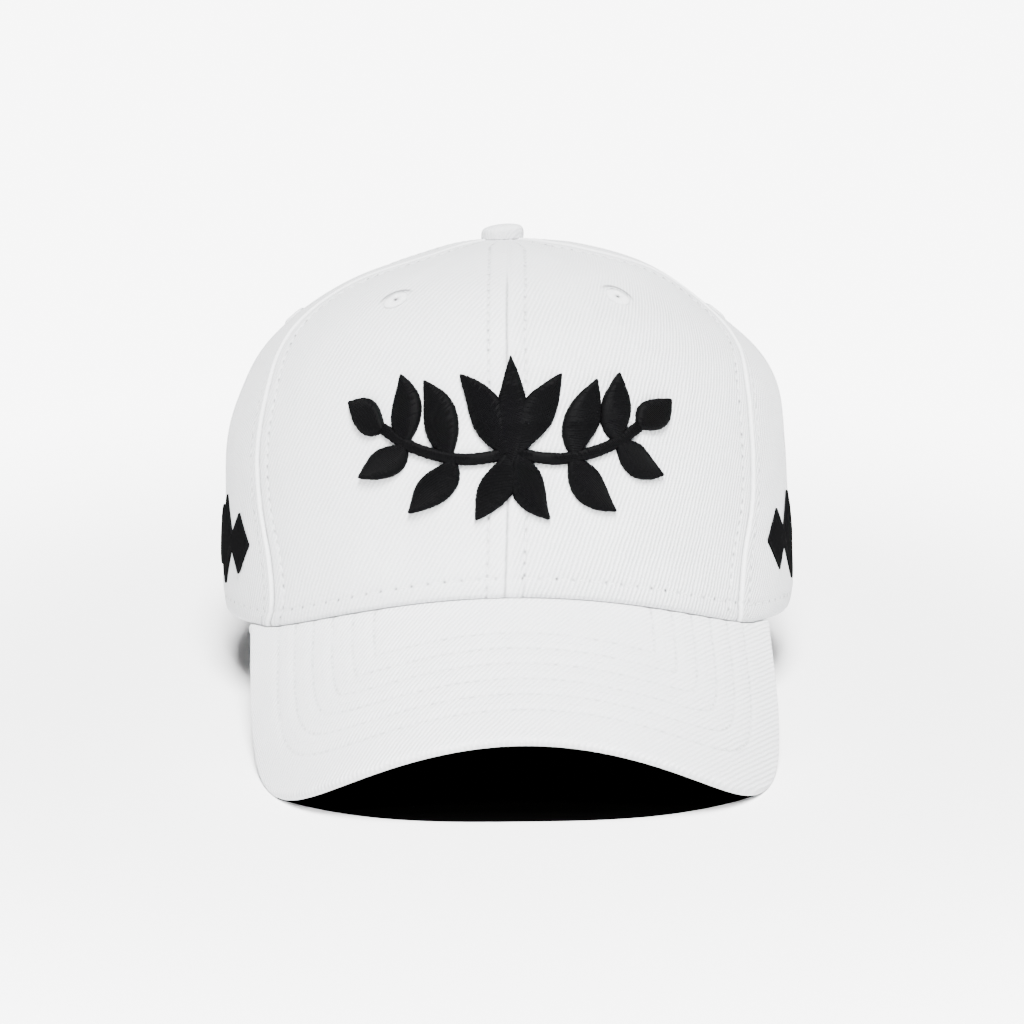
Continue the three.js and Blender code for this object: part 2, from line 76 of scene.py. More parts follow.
# Each section's height, half width, and reach to the front and back, how flat the side panels
# are there, and the azimuths of the front panels' right, left and middle seams.
SECTIONS = np.array([
    (0, 90.3, 98.0, 96.5, 0, 52, 303.3, -1.65),
    (8, 91.3, 98.2, 98.0, 0, 51.4, 306, -1.47),
    (22, 91.4, 97.6, 99.2, 0, 53.2, 305, -1.22),
    (38, 91.0, 96.4, 99.4, 0, 56.8, 301.4, -0.93),
    (53, 90.4, 94.6, 98.4, 0.05, 57.7, 299.8, -0.7),
    (66, 87.9, 92.4, 95.6, 0.1, 59, 298.8, -0.65),
    (77, 83.6, 89.4, 90.6, 0.2, 62, 297, -0.72),
    (86, 77.6, 85.6, 84.0, 0.3, 69, 293.5, -0.78),
    (94, 69.6, 80.8, 76.0, 0.45, 76, 289.5, -0.82),
    (101, 60.0, 74.0, 66.5, 0.6, 77, 287.5, -0.72),
    (107.5, 48.6, 64.5, 54.5, 0.8, 72, 288, -0.4),
    (112.5, 36.8, 52.0, 42.5, 0.9, 64, 290, 0.1),
    (116.3, 24.4, 37.0, 29.5, 1, 58, 294, 1.2),
    (118.6, 12.4, 19.5, 15.5, 1, 56, 297, 3.9),
    (119.6, 2.3, 2.3, 2.3, 0, 56, 298.5, 3.9),
])
TOP = len(SECTIONS) - 1
SEAM_PATHS = {"right": 5, "left": 6, "front": 7}

# Each panel's two seams, how far its cloth puffs out between them, the slant of its twill, the
# share of its width that the twill hangs from, and the azimuth and height of its eyelet.
PANELS = {
    "front_right": ("front", "right", 0.6, 71, 0, (35.3, 102)),
    "side_right": ("right", 119, 1.5, 62, 0.5, (98, 93)),
    "back_right": (119, 180, 2.2, 70, 0.5, (148, 97)),
    "back_left": (180, 240, 2.2, 56, 0.5, (212, 97)),
    "side_left": (240, "left", 1.5, 66, 0.5, (258, 93)),
    "front_left": ("left", "front", 0.6, 58, 1, (323.6, 102)),
}

# Azimuth, height, spread round and up, and depth of soft bulges and dents.
DENTS = (
    (270, 38, 24, 28, -1.8),
    (88, 76, 28, 14, 3.2),
    (340, 28, 14, 11, -1.0),
    (80, 109, 42, 10, 2.9),
    (92, 6, 40, 12, 2.0),
    (285, 115, 45, 6, -1.4),
    (270, 71, 30, 10, -0.9),
)

# How far a panel's twill is worn flat, and how far it is pressed flat by its seams and the top.
WORN_FLAT = {"front_left": 0.35}
SEAM_PRESS = 0.8
TOP_PRESS = 0.7
EYELET_CUT = 2.6
PANEL_ROWS = 190
PANEL_MIDDLE = 46
PANEL_SAMPLES = 161
PANEL_GAP = 0.0001
# Where a panel's columns run beside a seam. They close up where the panels narrow.
SEAM_COLUMNS = np.array(
    (0.01, 0.3, 0.6, 1, 1.6, 2.4, 3.3, 4.2, 4.9, 5.3, 5.7, 6.1, 6.6, 7.4, 8.6, 10)
)
FULL_WIDTH = 24
SEAM_ROW = 5.7
SEAM_PITCH = 3.5
RIM_ROW = 6
RIM_PITCH = 5.3

# The cloth's relief, in millimetres: the groove of a seam, its turned edges, the roll of the
# side panels beside the front ones, the dips and puckers of the stitches, and the turned rim.
GROOVE_DEPTH = 0.35
GROOVE_REACH = 0.55
TURNED_HEIGHT = 0.32
ROLL_HEIGHT = 0.42
ROLL_MIDDLE = 1.2
ROLL_REACH = 0.65
ROW_DIP = 0.22
PUCKER_HEIGHT = 0.1
PUCKER_REACH = 2.4
RIM_TURN = 0.7
RIM_TURN_REACH = 0.8
# Each eyelet's painted shade, on its upper outer side in the cloth and the ring: how dark, and
# how far it is turned outwards from up.
EYELET_SHADE = 0.8
SHADE_TURN = 0.8
WELD = 0.000002


def stand(points):
    """Millimetres in the cap's own frame, as metres in the part's."""
    x, y, z = np.moveaxis(np.asarray(points, float), -1, 0)
    deep = y * cos(LEAN) + z * sin(LEAN)
    high = z * cos(LEAN) - y * sin(LEAN)
    return (np.stack((x, deep, high), -1) + CAP_PLACE) / 1000


def turned(direction):
    """A direction in the cap's own frame, as one in the part's."""
    return (stand(direction) - stand((0, 0, 0))) * 1000


def unit(vectors):
    return vectors / np.maximum(np.linalg.norm(vectors, axis=-1, keepdims=True), 1e-9)


def ramp(value, low, high):
    """Rises smoothly from 0 to 1 as value goes from low to high."""
    share = np.clip((value - low) / (high - low), 0, 1)
    return share * share * (3 - 2 * share)


def ridge(value, middle, spread):
    return np.exp(-(((value - middle) / spread) ** 2))


def between(azimuth, other):
    return np.abs((azimuth - other + pi) % tau - pi)


def section(t):
    """The section at t, counted from the rim, smooth through those of the pattern."""
    low = np.clip(np.floor(t).astype(int), 0, TOP - 1)
    f = (t - low)[..., None]
    slopes = np.gradient(SECTIONS, axis=0)
    start = (2 * f**3 - 3 * f**2 + 1) * SECTIONS[low] + (f**3 - 2 * f**2 + f) * slopes[low]
    end = (3 * f**2 - 2 * f**3) * SECTIONS[low + 1] + (f**3 - f**2) * slopes[low + 1]
    return np.moveaxis(start + end, -1, 0)


def section_at_height(z):
    return np.interp(z, SECTIONS[:, 0], np.arange(TOP + 1))


def rim_rise(azimuth):
    share = np.clip(between(azimuth, 0) / RIM_RISE_REACH, 0, 1)
    return RIM_RISE * np.cos(share * pi / 2) ** RIM_RISE_POWER


def seam_azimuth(seam, t):
    """A seam is a number of degrees, or the name of its path."""
    if seam in SEAM_PATHS:
        return np.radians(section(t)[SEAM_PATHS[seam]])
    return radians(seam) + 0 * t


def seams_beside(low_seam, high_seam, t):
    low, high = seam_azimuth(low_seam, t), seam_azimuth(high_seam, t)
    return low, np.where(high < low, high + tau, high)


def smooth_crown(azimuth, t, flatten):
    """The crown before its panels puff out, and the puff of each of its points."""
    z, side, front, back, flat = section(t)[:5]
    turn = azimuth % tau
    wide = np.sin(azimuth)
    puff = np.zeros_like(turn)
    for name, (low_seam, high_seam, fill, _, _, _) in PANELS.items():
        low, high = seams_beside(low_seam, high_seam, t)
        share = np.clip((turn - low) / (high - low), 0, 1)
        inside = (turn >= low) & (turn <= high)
        puff = np.where(inside, fill * np.sin(share * pi) * np.sin(t / TOP * pi), puff)
        if name.startswith("side") and flatten:
            straight = np.sin(low) + (np.sin(high) - np.sin(low)) * share
            wide = np.where(inside, wide + (straight - wide) * flat, wide)
    deep = np.where(between(azimuth, 0) < pi / 2, front, back)
    lift = rim_rise(azimuth) * np.maximum(0, 1 - z / RISE_FADES_AT) ** 2
    return np.stack((side * wide, -deep * np.cos(azimuth), z + lift), -1), puff


def crown_normal(azimuth, t):
    turn, step = radians(2), 0.5
    along = smooth_crown(azimuth + turn, t, False)[0] - smooth_crown(azimuth - turn, t, False)[0]
    above = smooth_crown(azimuth, np.minimum(t + step, TOP), False)[0]
    below = smooth_crown(azimuth, np.maximum(t - step, 0), False)[0]
    return unit(np.cross(along, above - below))


def crown_point(azimuth, t, out=0.0, puffed=True):
    """A point out from the cloth's outer face, and the direction out of the crown there."""
    azimuth, t = np.broadcast_arrays(np.asarray(azimuth, float), np.asarray(t, float))
    smooth, puff = smooth_crown(azimuth, t, True)
    z = section(t)[0]
    bulge = puff if puffed else 0 * puff
    below_button = np.clip((TOP - t) / DENTS_FADE, 0, 1)
    for dent_azimuth, height, spread, up, depth in DENTS:
        away = between(azimuth, radians(dent_azimuth)) / radians(spread)
        dent = depth * np.exp(-(away**2) - ((z - height) / up) ** 2)
        bulge = bulge + dent * below_button
    normal = crown_normal(azimuth, t)
    return smooth + normal * (bulge + out)[..., None], normal


def stand_at(azimuth, height):
    """A place on the bulging cloth, with the directions round it, up it and out of it."""
    azimuth, t = radians(azimuth), section_at_height(height)
    turn, step = radians(3), 0.4
    along = crown_point(azimuth + turn, t)[0] - crown_point(azimuth - turn, t)[0]
    up = crown_point(azimuth, t + step)[0] - crown_point(azimuth, t - step)[0]
    out = unit(np.cross(along, up))
    along = unit(along)
    return crown_point(azimuth, t)[0], along, np.cross(out, along), out


def run_along(points):
    """How far each point is along the line through them, on the next to last axis."""
    steps = np.linalg.norm(np.diff(points, axis=-2), axis=-1)
    return np.concatenate((np.zeros_like(steps[..., :1]), np.cumsum(steps, -1)), -1)


def creases(azimuth, z):
    """Soft unevenness of handled cloth, in millimetres."""
    slow = np.sin(azimuth * 7 + 0.045 * z) * np.sin(0.06 * z + 1.3 * np.sin(azimuth * 3))
    quick = np.sin(azimuth * 17 - 0.07 * z + 1) * np.sin(0.11 * z + 2 * np.sin(azimuth * 5))
    return 0.22 * slow + 0.1 * quick


def only(piece):
    bpy.ops.object.select_all(action="DESELECT")
    piece.select_set(True)
    bpy.context.view_layer.objects.active = piece


def join(pieces, name):
    only(pieces[0])
    for piece in pieces[1:]:
        piece.select_set(True)
    bpy.ops.object.join()
    pieces[0].name = name
    return pieces[0]


def close_up(piece):
    """Welds the edges of grids that meet, fills what is open, and faces it all outwards."""
    only(piece)
    bpy.ops.object.mode_set(mode="EDIT")
    bpy.ops.mesh.select_all(action="SELECT")
    bpy.ops.mesh.remove_doubles(threshold=WELD)
    bpy.ops.mesh.fill_holes(sides=0)
    bpy.ops.mesh.normals_make_consistent(inside=False)
    bpy.ops.object.mode_set(mode="OBJECT")


def lay_grid(name, points):
    """A grid laid over points, by row and column, which faces along columns crossed with rows.
    Returns it with the row and column of each of its vertices."""
    rows, columns = points.shape[0] - 1, points.shape[1] - 1
    bpy.ops.mesh.primitive_grid_add(x_subdivisions=columns, y_subdivisions=rows, size=1)
    piece = bpy.context.active_object
    piece.name = name
    places = np.empty(len(piece.data.vertices) * 3)
    piece.data.vertices.foreach_get("co", places)
    places = places.reshape(-1, 3)
    column = np.rint((places[:, 0] + 0.5) * columns).astype(int)
    row = np.rint((places[:, 1] + 0.5) * rows).astype(int)
    piece.data.vertices.foreach_set("co", stand(points[row, column]).ravel())
    piece.data.update()
    return piece, row, column


def set_weave(piece, weave):
    """Lays the cloth's own directions, in millimetres, in the piece's UV map."""
    corners = np.empty(len(piece.data.loops), int)
    piece.data.loops.foreach_get("vertex_index", corners)
    piece.data.uv_layers.active.data.foreach_set("uv", weave[corners].ravel())


def set_mark(piece, name, values):
    mark = piece.data.attributes.new(name, "FLOAT", "POINT")
    mark.data.foreach_set("value", np.asarray(values, np.float32))


def slanted(across, along, slant):
    """Where a point of the cloth is across the ribs of its twill, and along them."""
    turn = radians(slant)
    over = along * cos(turn) - across * sin(turn)
    return np.stack((over, across * cos(turn) + along * sin(turn)), -1)


def shade_smooth(piece, angle=50):
    only(piece)
    bpy.ops.object.shade_smooth_by_angle(angle=radians(angle))


def add_wall(piece, thickness):
    """Gives a sheet its thickness, inwards."""
    only(piece)
    wall = piece.modifiers.new("wall", "SOLIDIFY")
    wall.thickness = thickness / 1000
    wall.offset = -1
    bpy.ops.object.modifier_apply(modifier=wall.name)


def press_on_floor(piece):
    """Where the cap stands, its cloth is pressed flat."""
    for vertex in piece.data.vertices:
        vertex.co.z = max(vertex.co.z, 0)


class Level:
    """A number that varies over a surface. A sum on it adds a Math node."""

    def __init__(self, finish, socket):
        self.finish = finish
        self.socket = socket

    def work(self, operation, *values):
        settings = {"operation": operation}
        return self.finish.add("ShaderNodeMath", settings, dict(enumerate(values)))

    def __add__(self, other):
        return self.work("ADD", self, other)

    __radd__ = __add__

    def __sub__(self, other):
        return self.work("SUBTRACT", self, other)

    def __rsub__(self, other):
        return self.work("SUBTRACT", other, self)

    def __mul__(self, other):
        return self.work("MULTIPLY", self, other)

    __rmul__ = __mul__

    def __truediv__(self, other):
        return self.work("DIVIDE", self, other)

    def work_alone(self, operation):
        return self.work(operation, self)

    def at_least(self, other):
        return self.work("MAXIMUM", self, other)

    def at_most(self, other):
        return self.work("MINIMUM", self, other)

    def wave(self):
        """From 0 to 1 and back for each whole number that it passes."""
        return 0.5 - 0.5 * (self * tau).work_alone("COSINE")

    def peak(self, spread):
        """1 where it is 0, and 0 from spread either side."""
        away = self.work_alone("ABSOLUTE")
        settings = {"interpolation_type": "SMOOTHSTEP"}
        span = {"Value": away, "From Min": 0.0, "From Max": spread, "To Min": 1.0, "To Max": 0.0}
        return self.finish.add("ShaderNodeMapRange", settings, span)


class Finish:
    """A material, built by adding nodes to its shader."""

    def __init__(self, name, **constants):
        self.material = bpy.data.materials.new(name)
        self.material.use_nodes = True
        self.tree = self.material.node_tree
        self.shader = self.tree.nodes["Principled BSDF"]
        for socket, value in constants.items():
            self.shader.inputs[socket.replace("_", " ")].default_value = value

    def add(self, kind, settings, inputs, output=0):
        """A node of a kind, with its settings, then the values or links of its sockets."""
        node = self.tree.nodes.new(kind)
        for name, value in settings.items():
            setattr(node, name, value)
        for socket, value in inputs.items():
            if isinstance(value, Level):
                self.tree.links.new(value.socket, node.inputs[socket])
            else:
                node.inputs[socket].default_value = value
        return Level(self, node.outputs[output])

    def feed(self, socket, level):
        self.tree.links.new(level.socket, self.shader.inputs[socket])

    def mark(self, name):
        return self.add("ShaderNodeAttribute", {"attribute_name": name}, {}, "Fac")

    def weave(self):
        return self.add("ShaderNodeUVMap", {"uv_map": "UVMap"}, {})

    def part_of(self, vector, axis):
        return self.add("ShaderNodeSeparateXYZ", {}, {0: vector}, axis)

    def noise(self, vector, scale, detail=2.0, rough=0.5):
        inputs = {"Vector": vector, "Scale": scale, "Detail": detail, "Roughness": rough}
        return self.add("ShaderNodeTexNoise", {}, inputs)

    def blend(self, mask, first, second):
        """One colour going over to another where the mask rises to 1."""
        return self.add("ShaderNodeMix", {"data_type": "RGBA"}, {0: mask, 6: first, 7: second}, 2)

    def relief(self, height, depth, strength=1.0):
        """Bumps the shader's normal by a height from 0 to 1, over a depth in metres."""
        inputs = {"Height": height, "Distance": depth, "Strength": strength}
        self.feed("Normal", self.add("ShaderNodeBump", {}, inputs))


# White twill, and the colour that its painted shade between the ribs and its random tone go
# towards.
TWILL_WHITE = (0.93, 0.935, 0.94, 1)
TWILL_SHADE = (0.43, 0.44, 0.455, 1)
# The darkest painted shade, in needle holes, stitch lines and seam grooves.
HOLE_SHADE = (0.05, 0.05, 0.055, 1)
TWILL_PITCH = 1.42
FLOAT_PITCH = 0.8
RIB_WANDER = 0.7
FLOAT_DEPTH = 0.35
FUZZ_SHADE = 0.85
FUZZ_HEIGHT = 0.35
CLOUD_SHADE = 0.14
HOLE_REACH = 0.8
HOLE_DEPTH = 0.3
SEAM_REACH = 0.7
# How far out from each eyelet its arc of painted shade lies, and how wide it is.
EYELET_RIM = 5.7
EYELET_REACH = 1.1


def twill(name, hole_rows=(), sewn=False, colours=(TWILL_WHITE, TWILL_SHADE), ribs=0.46,
          relief=0.0004, gloss=0.25):
    """Cotton twill: slanted ribs of short floats, with needle holes along its stitches. The
    grooves between its ribs are darkened as painted shade, as strongly as ribs says, mixed with
    random tone.
    A hole row is two marks, how far off it is and how far along it, its pitch, and how dark its
    line and its holes are, as painted shade in the stitch dips and holes. A sewn twill also has
    the marks of the crown's panels: how far off a seam is, whose groove gets a painted shade
    line, where the cloth is pressed flat, where it is raised over a seam's turned edges and the
    painted shade is lifted as a painted highlight, and how far off an eyelet's rim is, and how
    dark the painted shade above the eyelet is."""
    finish = Finish(name, Roughness=0.92, Specular_IOR_Level=gloss)
    cloth = finish.weave()
    wander = finish.noise(cloth, 0.22, 3.0)
    rib = finish.part_of(cloth, 0) / TWILL_PITCH + wander * RIB_WANDER
    fleck = finish.part_of(cloth, 1) / FLOAT_PITCH + rib * 0.5
    height = rib.wave() * (1 - FLOAT_DEPTH + FLOAT_DEPTH * fleck.wave())
    if sewn:
        height = height + (0.5 - height) * finish.mark("pressed")
    fuzz = finish.noise(cloth, 1.7, 4.0, 0.7)
    cloudy = finish.noise(cloth, 0.05, 3.0)
    patchy = finish.noise(cloth, 0.13, 2.0) * 2
    # Painted shade in the grooves between the ribs, deeper where lower, with random fuzz, cloud
    # and patches of tone.
    groove_shade_and_tone = (0.55 - height) * ribs * patchy - 0.01 + fuzz * FUZZ_SHADE + cloudy * CLOUD_SHADE
    shade = None
    if sewn:
        # A painted highlight: on the side panels' roll the weave's painted shade is lifted.
        groove_shade_and_tone = groove_shade_and_tone * (1 - finish.mark("raised") * 0.6)
        # Painted shade along each seam's groove, broken by noise, and faded out near the top by
        # the seam mark.
        broken = 0.15 + 0.75 * finish.noise(cloth, 0.45, 2.0)
        shade = finish.mark("seam").peak(SEAM_REACH) * broken
        # An arc of painted shade in the cloth above each eyelet.
        above = (finish.mark("eyelet_off") - EYELET_RIM).peak(EYELET_REACH)
        shade = shade.at_least(above * finish.mark("eyelet_painted_shade"))
    colour = finish.blend(groove_shade_and_tone, *colours)
    # Painted shade in each stitch row: a faint line along the dip and darker needle holes, which
    # also dip the bump.
    for off, run, pitch, line, spot in hole_rows:
        along_row = ((finish.mark(run) / pitch + 0.5).work_alone("FRACT") - 0.5) * pitch
        spotted = line + (spot - line) * along_row.peak(HOLE_REACH)
        uneven = ((finish.noise(cloth, 0.31, 1.0) - 0.3) * 3).at_least(0.25).at_most(1.0)
        hole = finish.mark(off).peak(HOLE_REACH) * spotted * uneven
        shade = hole if shade is None else shade.at_least(hole)
    if shade is not None:
        colour = finish.blend(shade, colour, tuple(map(min, HOLE_SHADE, colours[1])))
        height = height * (1 - HOLE_DEPTH) + (1 - shade) * HOLE_DEPTH
    finish.feed("Base Color", colour)
    finish.relief(height + fuzz * FUZZ_HEIGHT, relief)
    return finish.material


# The crown's stitch rows: how dark each line and needle hole is painted, as painted shade.
crown_twill = twill(
    "crown_twill",
    [
        ("seam_off", "seam_run", SEAM_PITCH, 0.32, 0.9),
        ("rim_off", "rim_run", RIM_PITCH, 0.03, 1.0),
    ],
    sewn=True,
)
seam_lines = []
rim_lines = []
sewn = int(np.argmin(np.abs(SEAM_COLUMNS - SEAM_ROW)))

for name, (low_seam, high_seam, _, slant, hung_from, eyelet) in PANELS.items():
    t = np.linspace(0, TOP, PANEL_ROWS + 1)[:, None]
    low, high = seams_beside(low_seam, high_seam, t)
    azimuths = low + (high - low) * np.linspace(PANEL_GAP, 1 - PANEL_GAP, PANEL_SAMPLES)
    run = run_along(crown_point(azimuths, t)[0])
    width = run[:, -1:]
    scale = np.clip(width / FULL_WIDTH, 0.02, 1)
    near = SEAM_COLUMNS * scale
    first, last = near[:, -1:], width - near[:, -1:]
    middle = first + (last - first) * np.linspace(0, 1, PANEL_MIDDLE + 1)[1:-1]
    across = np.concatenate((near, middle, width - near[:, ::-1]), 1)
    columns = np.array([np.interp(*line) for line in zip(across, run, azimuths)])
    smooth, normal = crown_point(columns, t)
    rise = run_along(smooth.swapaxes(0, 1)).T
    off_seam = np.minimum(across, width - across)
    eased = off_seam / scale
    level = smooth[..., 2]
    outward = 1 if name.endswith("right") else -1

    left_run, right_run = (run_along(smooth[:, c])[:, None] for c in (sewn, -1 - sewn))
    seam_run = np.where(across < width / 2, left_run, right_run)

    relief = creases(columns, level) * ramp(eased, 2, 14) * ramp(rise, 2, 16)
    grooved = scale * (1 - 0.8 * ramp(level, 98, 111))
    relief -= GROOVE_DEPTH * ridge(eased, 0, GROOVE_REACH) * grooved
    relief += TURNED_HEIGHT * ramp(eased, 0.5, 1.5) * (1 - ramp(eased, 4.6, 6.6)) * scale
    # The side panels' roll beside the front seams: raised in the cloth, and given a painted
    # highlight in the twill.
    raised = np.zeros_like(across)
    if name.startswith("side"):
        from_front = across if outward > 0 else width - across
        raised = ridge(from_front, ROLL_MIDDLE, ROLL_REACH) * np.minimum(scale * 3, 1)
        relief += ROLL_HEIGHT * raised
    relief -= ROW_DIP * ridge(eased, SEAM_ROW, 0.5) * scale
    pucker = PUCKER_HEIGHT * np.cos(seam_run / SEAM_PITCH * tau)
    relief += pucker * ridge(eased, SEAM_ROW, PUCKER_REACH) * scale
    relief -= RIM_TURN * ridge(rise, 0, RIM_TURN_REACH) + ROW_DIP * ridge(rise, RIM_ROW, 0.6)
    grid = smooth + normal * relief[..., None]

    rim_line = np.array([
        [np.interp(RIM_ROW, rise[:, c], grid[:, c, axis]) for axis in range(3)]
        for c in range(grid.shape[1])
    ])
    rim_run = np.broadcast_to(run_along(rim_line), rise.shape)

    centre, along, up, out = stand_at(*eyelet)
    arm = smooth - centre
    # The way towards the eyelet's painted shade: up, and turned outwards.
    far = unit(up + along * (SHADE_TURN * outward))
    pressed = SEAM_PRESS * (1 - ramp(off_seam, 0.5, 3.2))
    pressed = np.maximum(pressed, TOP_PRESS * ramp(level, 98, 114))
    marks = {
        # Where the painted shade of a seam's groove lies. It is pushed out of reach near the top.
        "seam": off_seam + SEAM_REACH * ramp(level, 106, 115),
        "pressed": np.maximum(pressed, WORN_FLAT.get(name, 0)),
        "raised": raised,
        "seam_off": eased - SEAM_ROW,
        "seam_run": seam_run,
        "rim_off": rise - RIM_ROW,
        "rim_run": rim_run,
        "eyelet_off": np.linalg.norm(arm - (arm @ out)[..., None] * out, axis=-1),
        "eyelet_painted_shade": EYELET_SHADE * ramp(arm @ far, 1, 5),
    }

    cloth, row, column = lay_grid("cloth_" + name, grid)
    hung_rise = rise[:, round(hung_from * (rise.shape[1] - 1))][:, None]
    set_weave(cloth, slanted(across - width * hung_from, hung_rise, slant)[row, column])
    for mark, values in marks.items():
        set_mark(cloth, mark, values[row, column])

    arm = np.array([face.center for face in cloth.data.polygons]) - stand(centre)
    axis = turned(out)
    off_axis = np.linalg.norm(arm - (arm @ axis)[:, None] * axis, axis=1)
    only(cloth)
    bpy.ops.object.mode_set(mode="EDIT")
    bpy.ops.mesh.select_mode(type="FACE")
    bpy.ops.mesh.select_all(action="DESELECT")
    bpy.ops.object.mode_set(mode="OBJECT")
    for face, away in zip(cloth.data.polygons, off_axis):
        face.select = bool(away < EYELET_CUT / 1000)
    bpy.ops.object.mode_set(mode="EDIT")
    bpy.ops.mesh.delete(type="FACE")
    bpy.ops.object.mode_set(mode="OBJECT")

    add_wall(cloth, CLOTH_WALL)
    shade_smooth(cloth)
    press_on_floor(cloth)
    cloth.data.materials.append(crown_twill)
    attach(cloth, "root")
    side, hand = name.split("_")
    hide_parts(f"{side}_panel_{hand}")

    for c, line_run in ((sewn, left_run), (-1 - sewn, right_run)):
        kept = (rise[:, c] > 3) & (smooth[:, c, 2] < 118)
        seam_lines.append((grid[kept, c], normal[kept, c], line_run[kept][0, 0]))
    rim_lines.append((rim_line, normal[np.argmin(np.abs(rise[:, 0] - RIM_ROW))], 0))

# Peak
# A stiff board bent across and sewn under the rim. The same white twill covers its top and
# wraps its edge, and black twill covers it below. Six rows of stitches follow the edge, each
# in a shallow channel.
PEAK_LENGTH = 69.3
PEAK_SLOPE = radians(31)
PEAK_HALF_WIDTH = 96.2
PEAK_SHIFT = 1.1
PEAK_POWER = 3.3
PEAK_BEND = 101.2
PEAK_BEND_CHANGE = -0.18
PEAK_REACH = radians(65)
PEAK_THICKNESS = 3
PEAK_GAP = 0.3
PEAK_SLANT = 52
PEAK_COLUMNS = 230
PEAK_ROWS = 52
PEAK_ROOT = np.array((0, -SECTIONS[0, 2], RIM_RISE))
PEAK_FORWARD = np.array((0, -cos(PEAK_SLOPE), -sin(PEAK_SLOPE)))
PEAK_UP = np.array((0, -sin(PEAK_SLOPE), cos(PEAK_SLOPE)))
RIGHTWARD = np.array((1, 0, 0))

CHANNELS = np.array((14.5, 22, 29.5, 37, 44.5, 52))
CHANNEL_PITCH = 2.9
CHANNEL_DIP = 0.3
CHANNEL_REACH = 0.75
CHANNEL_PUFF = 0.12
CHANNEL_PUFF_REACH = 2.6
# Black twill under the peak, and the colour that its painted rib shade and random tone go
# towards.
BLACK_TWILL = (0.003, 0.003, 0.0034, 1)
BLACK_TWILL_SHADE = (0.008, 0.008, 0.009, 1)
WRAPPED = 1.7
STITCH_CLEAR = 0.02
EDGE_SAMPLES = 6001
SIDE_SAMPLES = 200
# Distances from the edge where the board's cover rounds over, and shares of the last columns.
EDGE_ROWS = np.array((0, 0.03, 0.1, 0.25, 0.5, 0.85, 1.25, 1.7, 2.3, 3.1))
END_COLUMNS = np.array((0, 0.0002, 0.0008, 0.002, 0.004, 0.007, 0.011, 0.016))


def board_point(aside, forward, down=0.0):
    bend = PEAK_BEND + PEAK_BEND_CHANGE * forward
    angle = aside / bend
    lift = (bend - down) * np.cos(angle) - bend
    over = (bend - down) * np.sin(angle)
    return (PEAK_ROOT + forward[..., None] * PEAK_FORWARD + lift[..., None] * PEAK_UP
            + over[..., None] * RIGHTWARD)


def peak_place(across, along):
    """The top of the board from rim to edge, the way down through it, and its flat pattern."""
    rim = crown_point(across * PEAK_REACH, 0, PEAK_GAP)[0] - (0, 0, PEAK_GAP)
    start_forward = (rim - PEAK_ROOT) @ PEAK_FORWARD
    start_bend = PEAK_BEND + PEAK_BEND_CHANGE * start_forward
    start_aside = start_bend * np.arcsin(rim[..., 0] / start_bend)
    corner = np.abs(across) * pi / 2
    edge_aside = np.sign(across) * PEAK_HALF_WIDTH * np.sin(corner) ** (2 / PEAK_POWER)
    edge_forward = PEAK_LENGTH * np.maximum(0, np.cos(corner)) ** (2 / PEAK_POWER)
    aside = start_aside + (edge_aside - start_aside) * along
    forward = start_forward + (edge_forward - start_forward) * along
    surface = board_point(aside, forward)
    through = board_point(aside, forward, 1.0) - surface
    straight = np.maximum(0, 1 - along * 6)[..., None]
    through = through + (np.array((0, 0, -1)) - through) * straight
    miss = rim - board_point(start_aside, start_forward)
    surface = surface + miss * ((1 - along) ** 2)[..., None]
    surface = surface + (PEAK_SHIFT * along)[..., None] * RIGHTWARD
    return surface, through, np.stack((aside, forward), -1)


def search_tree(points):
    tree = kdtree.KDTree(len(points))
    for i, place in enumerate(points):
        tree.insert((*place, 0), i)
    tree.balance()
    return tree


def nearest_on(line, points):
    """How far each flat point is off a line, and how far along the line."""
    tree = search_tree(line)
    closest = np.array([tree.find((*point, 0))[1] for point in points])
    runs = run_along(line)
    off, along = np.full(len(points), np.inf), np.zeros(len(points))
    for shift in (-1, 0):
        start = np.clip(closest + shift, 0, len(line) - 2)
        leg = line[start + 1] - line[start]
        share = ((points - line[start]) * leg).sum(1) / np.maximum((leg**2).sum(1), 1e-12)
        share = np.clip(share, 0, 1)
        gap = np.linalg.norm(points - line[start] - share[:, None] * leg, axis=1)
        nearer = gap < off
        off = np.where(nearer, gap, off)
        along = np.where(nearer, runs[start] + share * (runs[start + 1] - runs[start]), along)
    return off, along


dense = np.linspace(-1, 1, EDGE_SAMPLES)
rim_flat = peak_place(dense, 0 * dense)[2]
front_edge = peak_place(dense, np.ones_like(dense))[2]
side_share, side_end = np.linspace(0, 1, SIDE_SAMPLES), np.ones(SIDE_SAMPLES)
edge_line = np.concatenate((
    peak_place(-side_end, side_share)[2][:-1],
    front_edge,
    peak_place(side_end, side_share[::-1])[2][1:],
))

weight = run_along(rim_flat) + run_along(front_edge)
even = np.interp(np.linspace(0, weight[-1], PEAK_COLUMNS + 1), weight, dense)
even = even[np.abs(even) < 1 - END_COLUMNS[-1] * 1.3]
across = np.concatenate((-1 + END_COLUMNS, even, 1 - END_COLUMNS[::-1]))
along = np.concatenate((
    np.linspace(0, 1 - EDGE_ROWS[-1] / PEAK_LENGTH, PEAK_ROWS)[:-1],
    1 - EDGE_ROWS[::-1] / PEAK_LENGTH,
))
across_grid, along_grid = np.meshgrid(across, along)
surface, through, flat = peak_place(across_grid, along_grid)
shape = across_grid.shape
off_edge, _ = nearest_on(edge_line, flat.reshape(-1, 2))
off_edge = off_edge.reshape(shape)
off_edge[-1], off_edge[:, 0], off_edge[:, -1] = 0, 0, 0

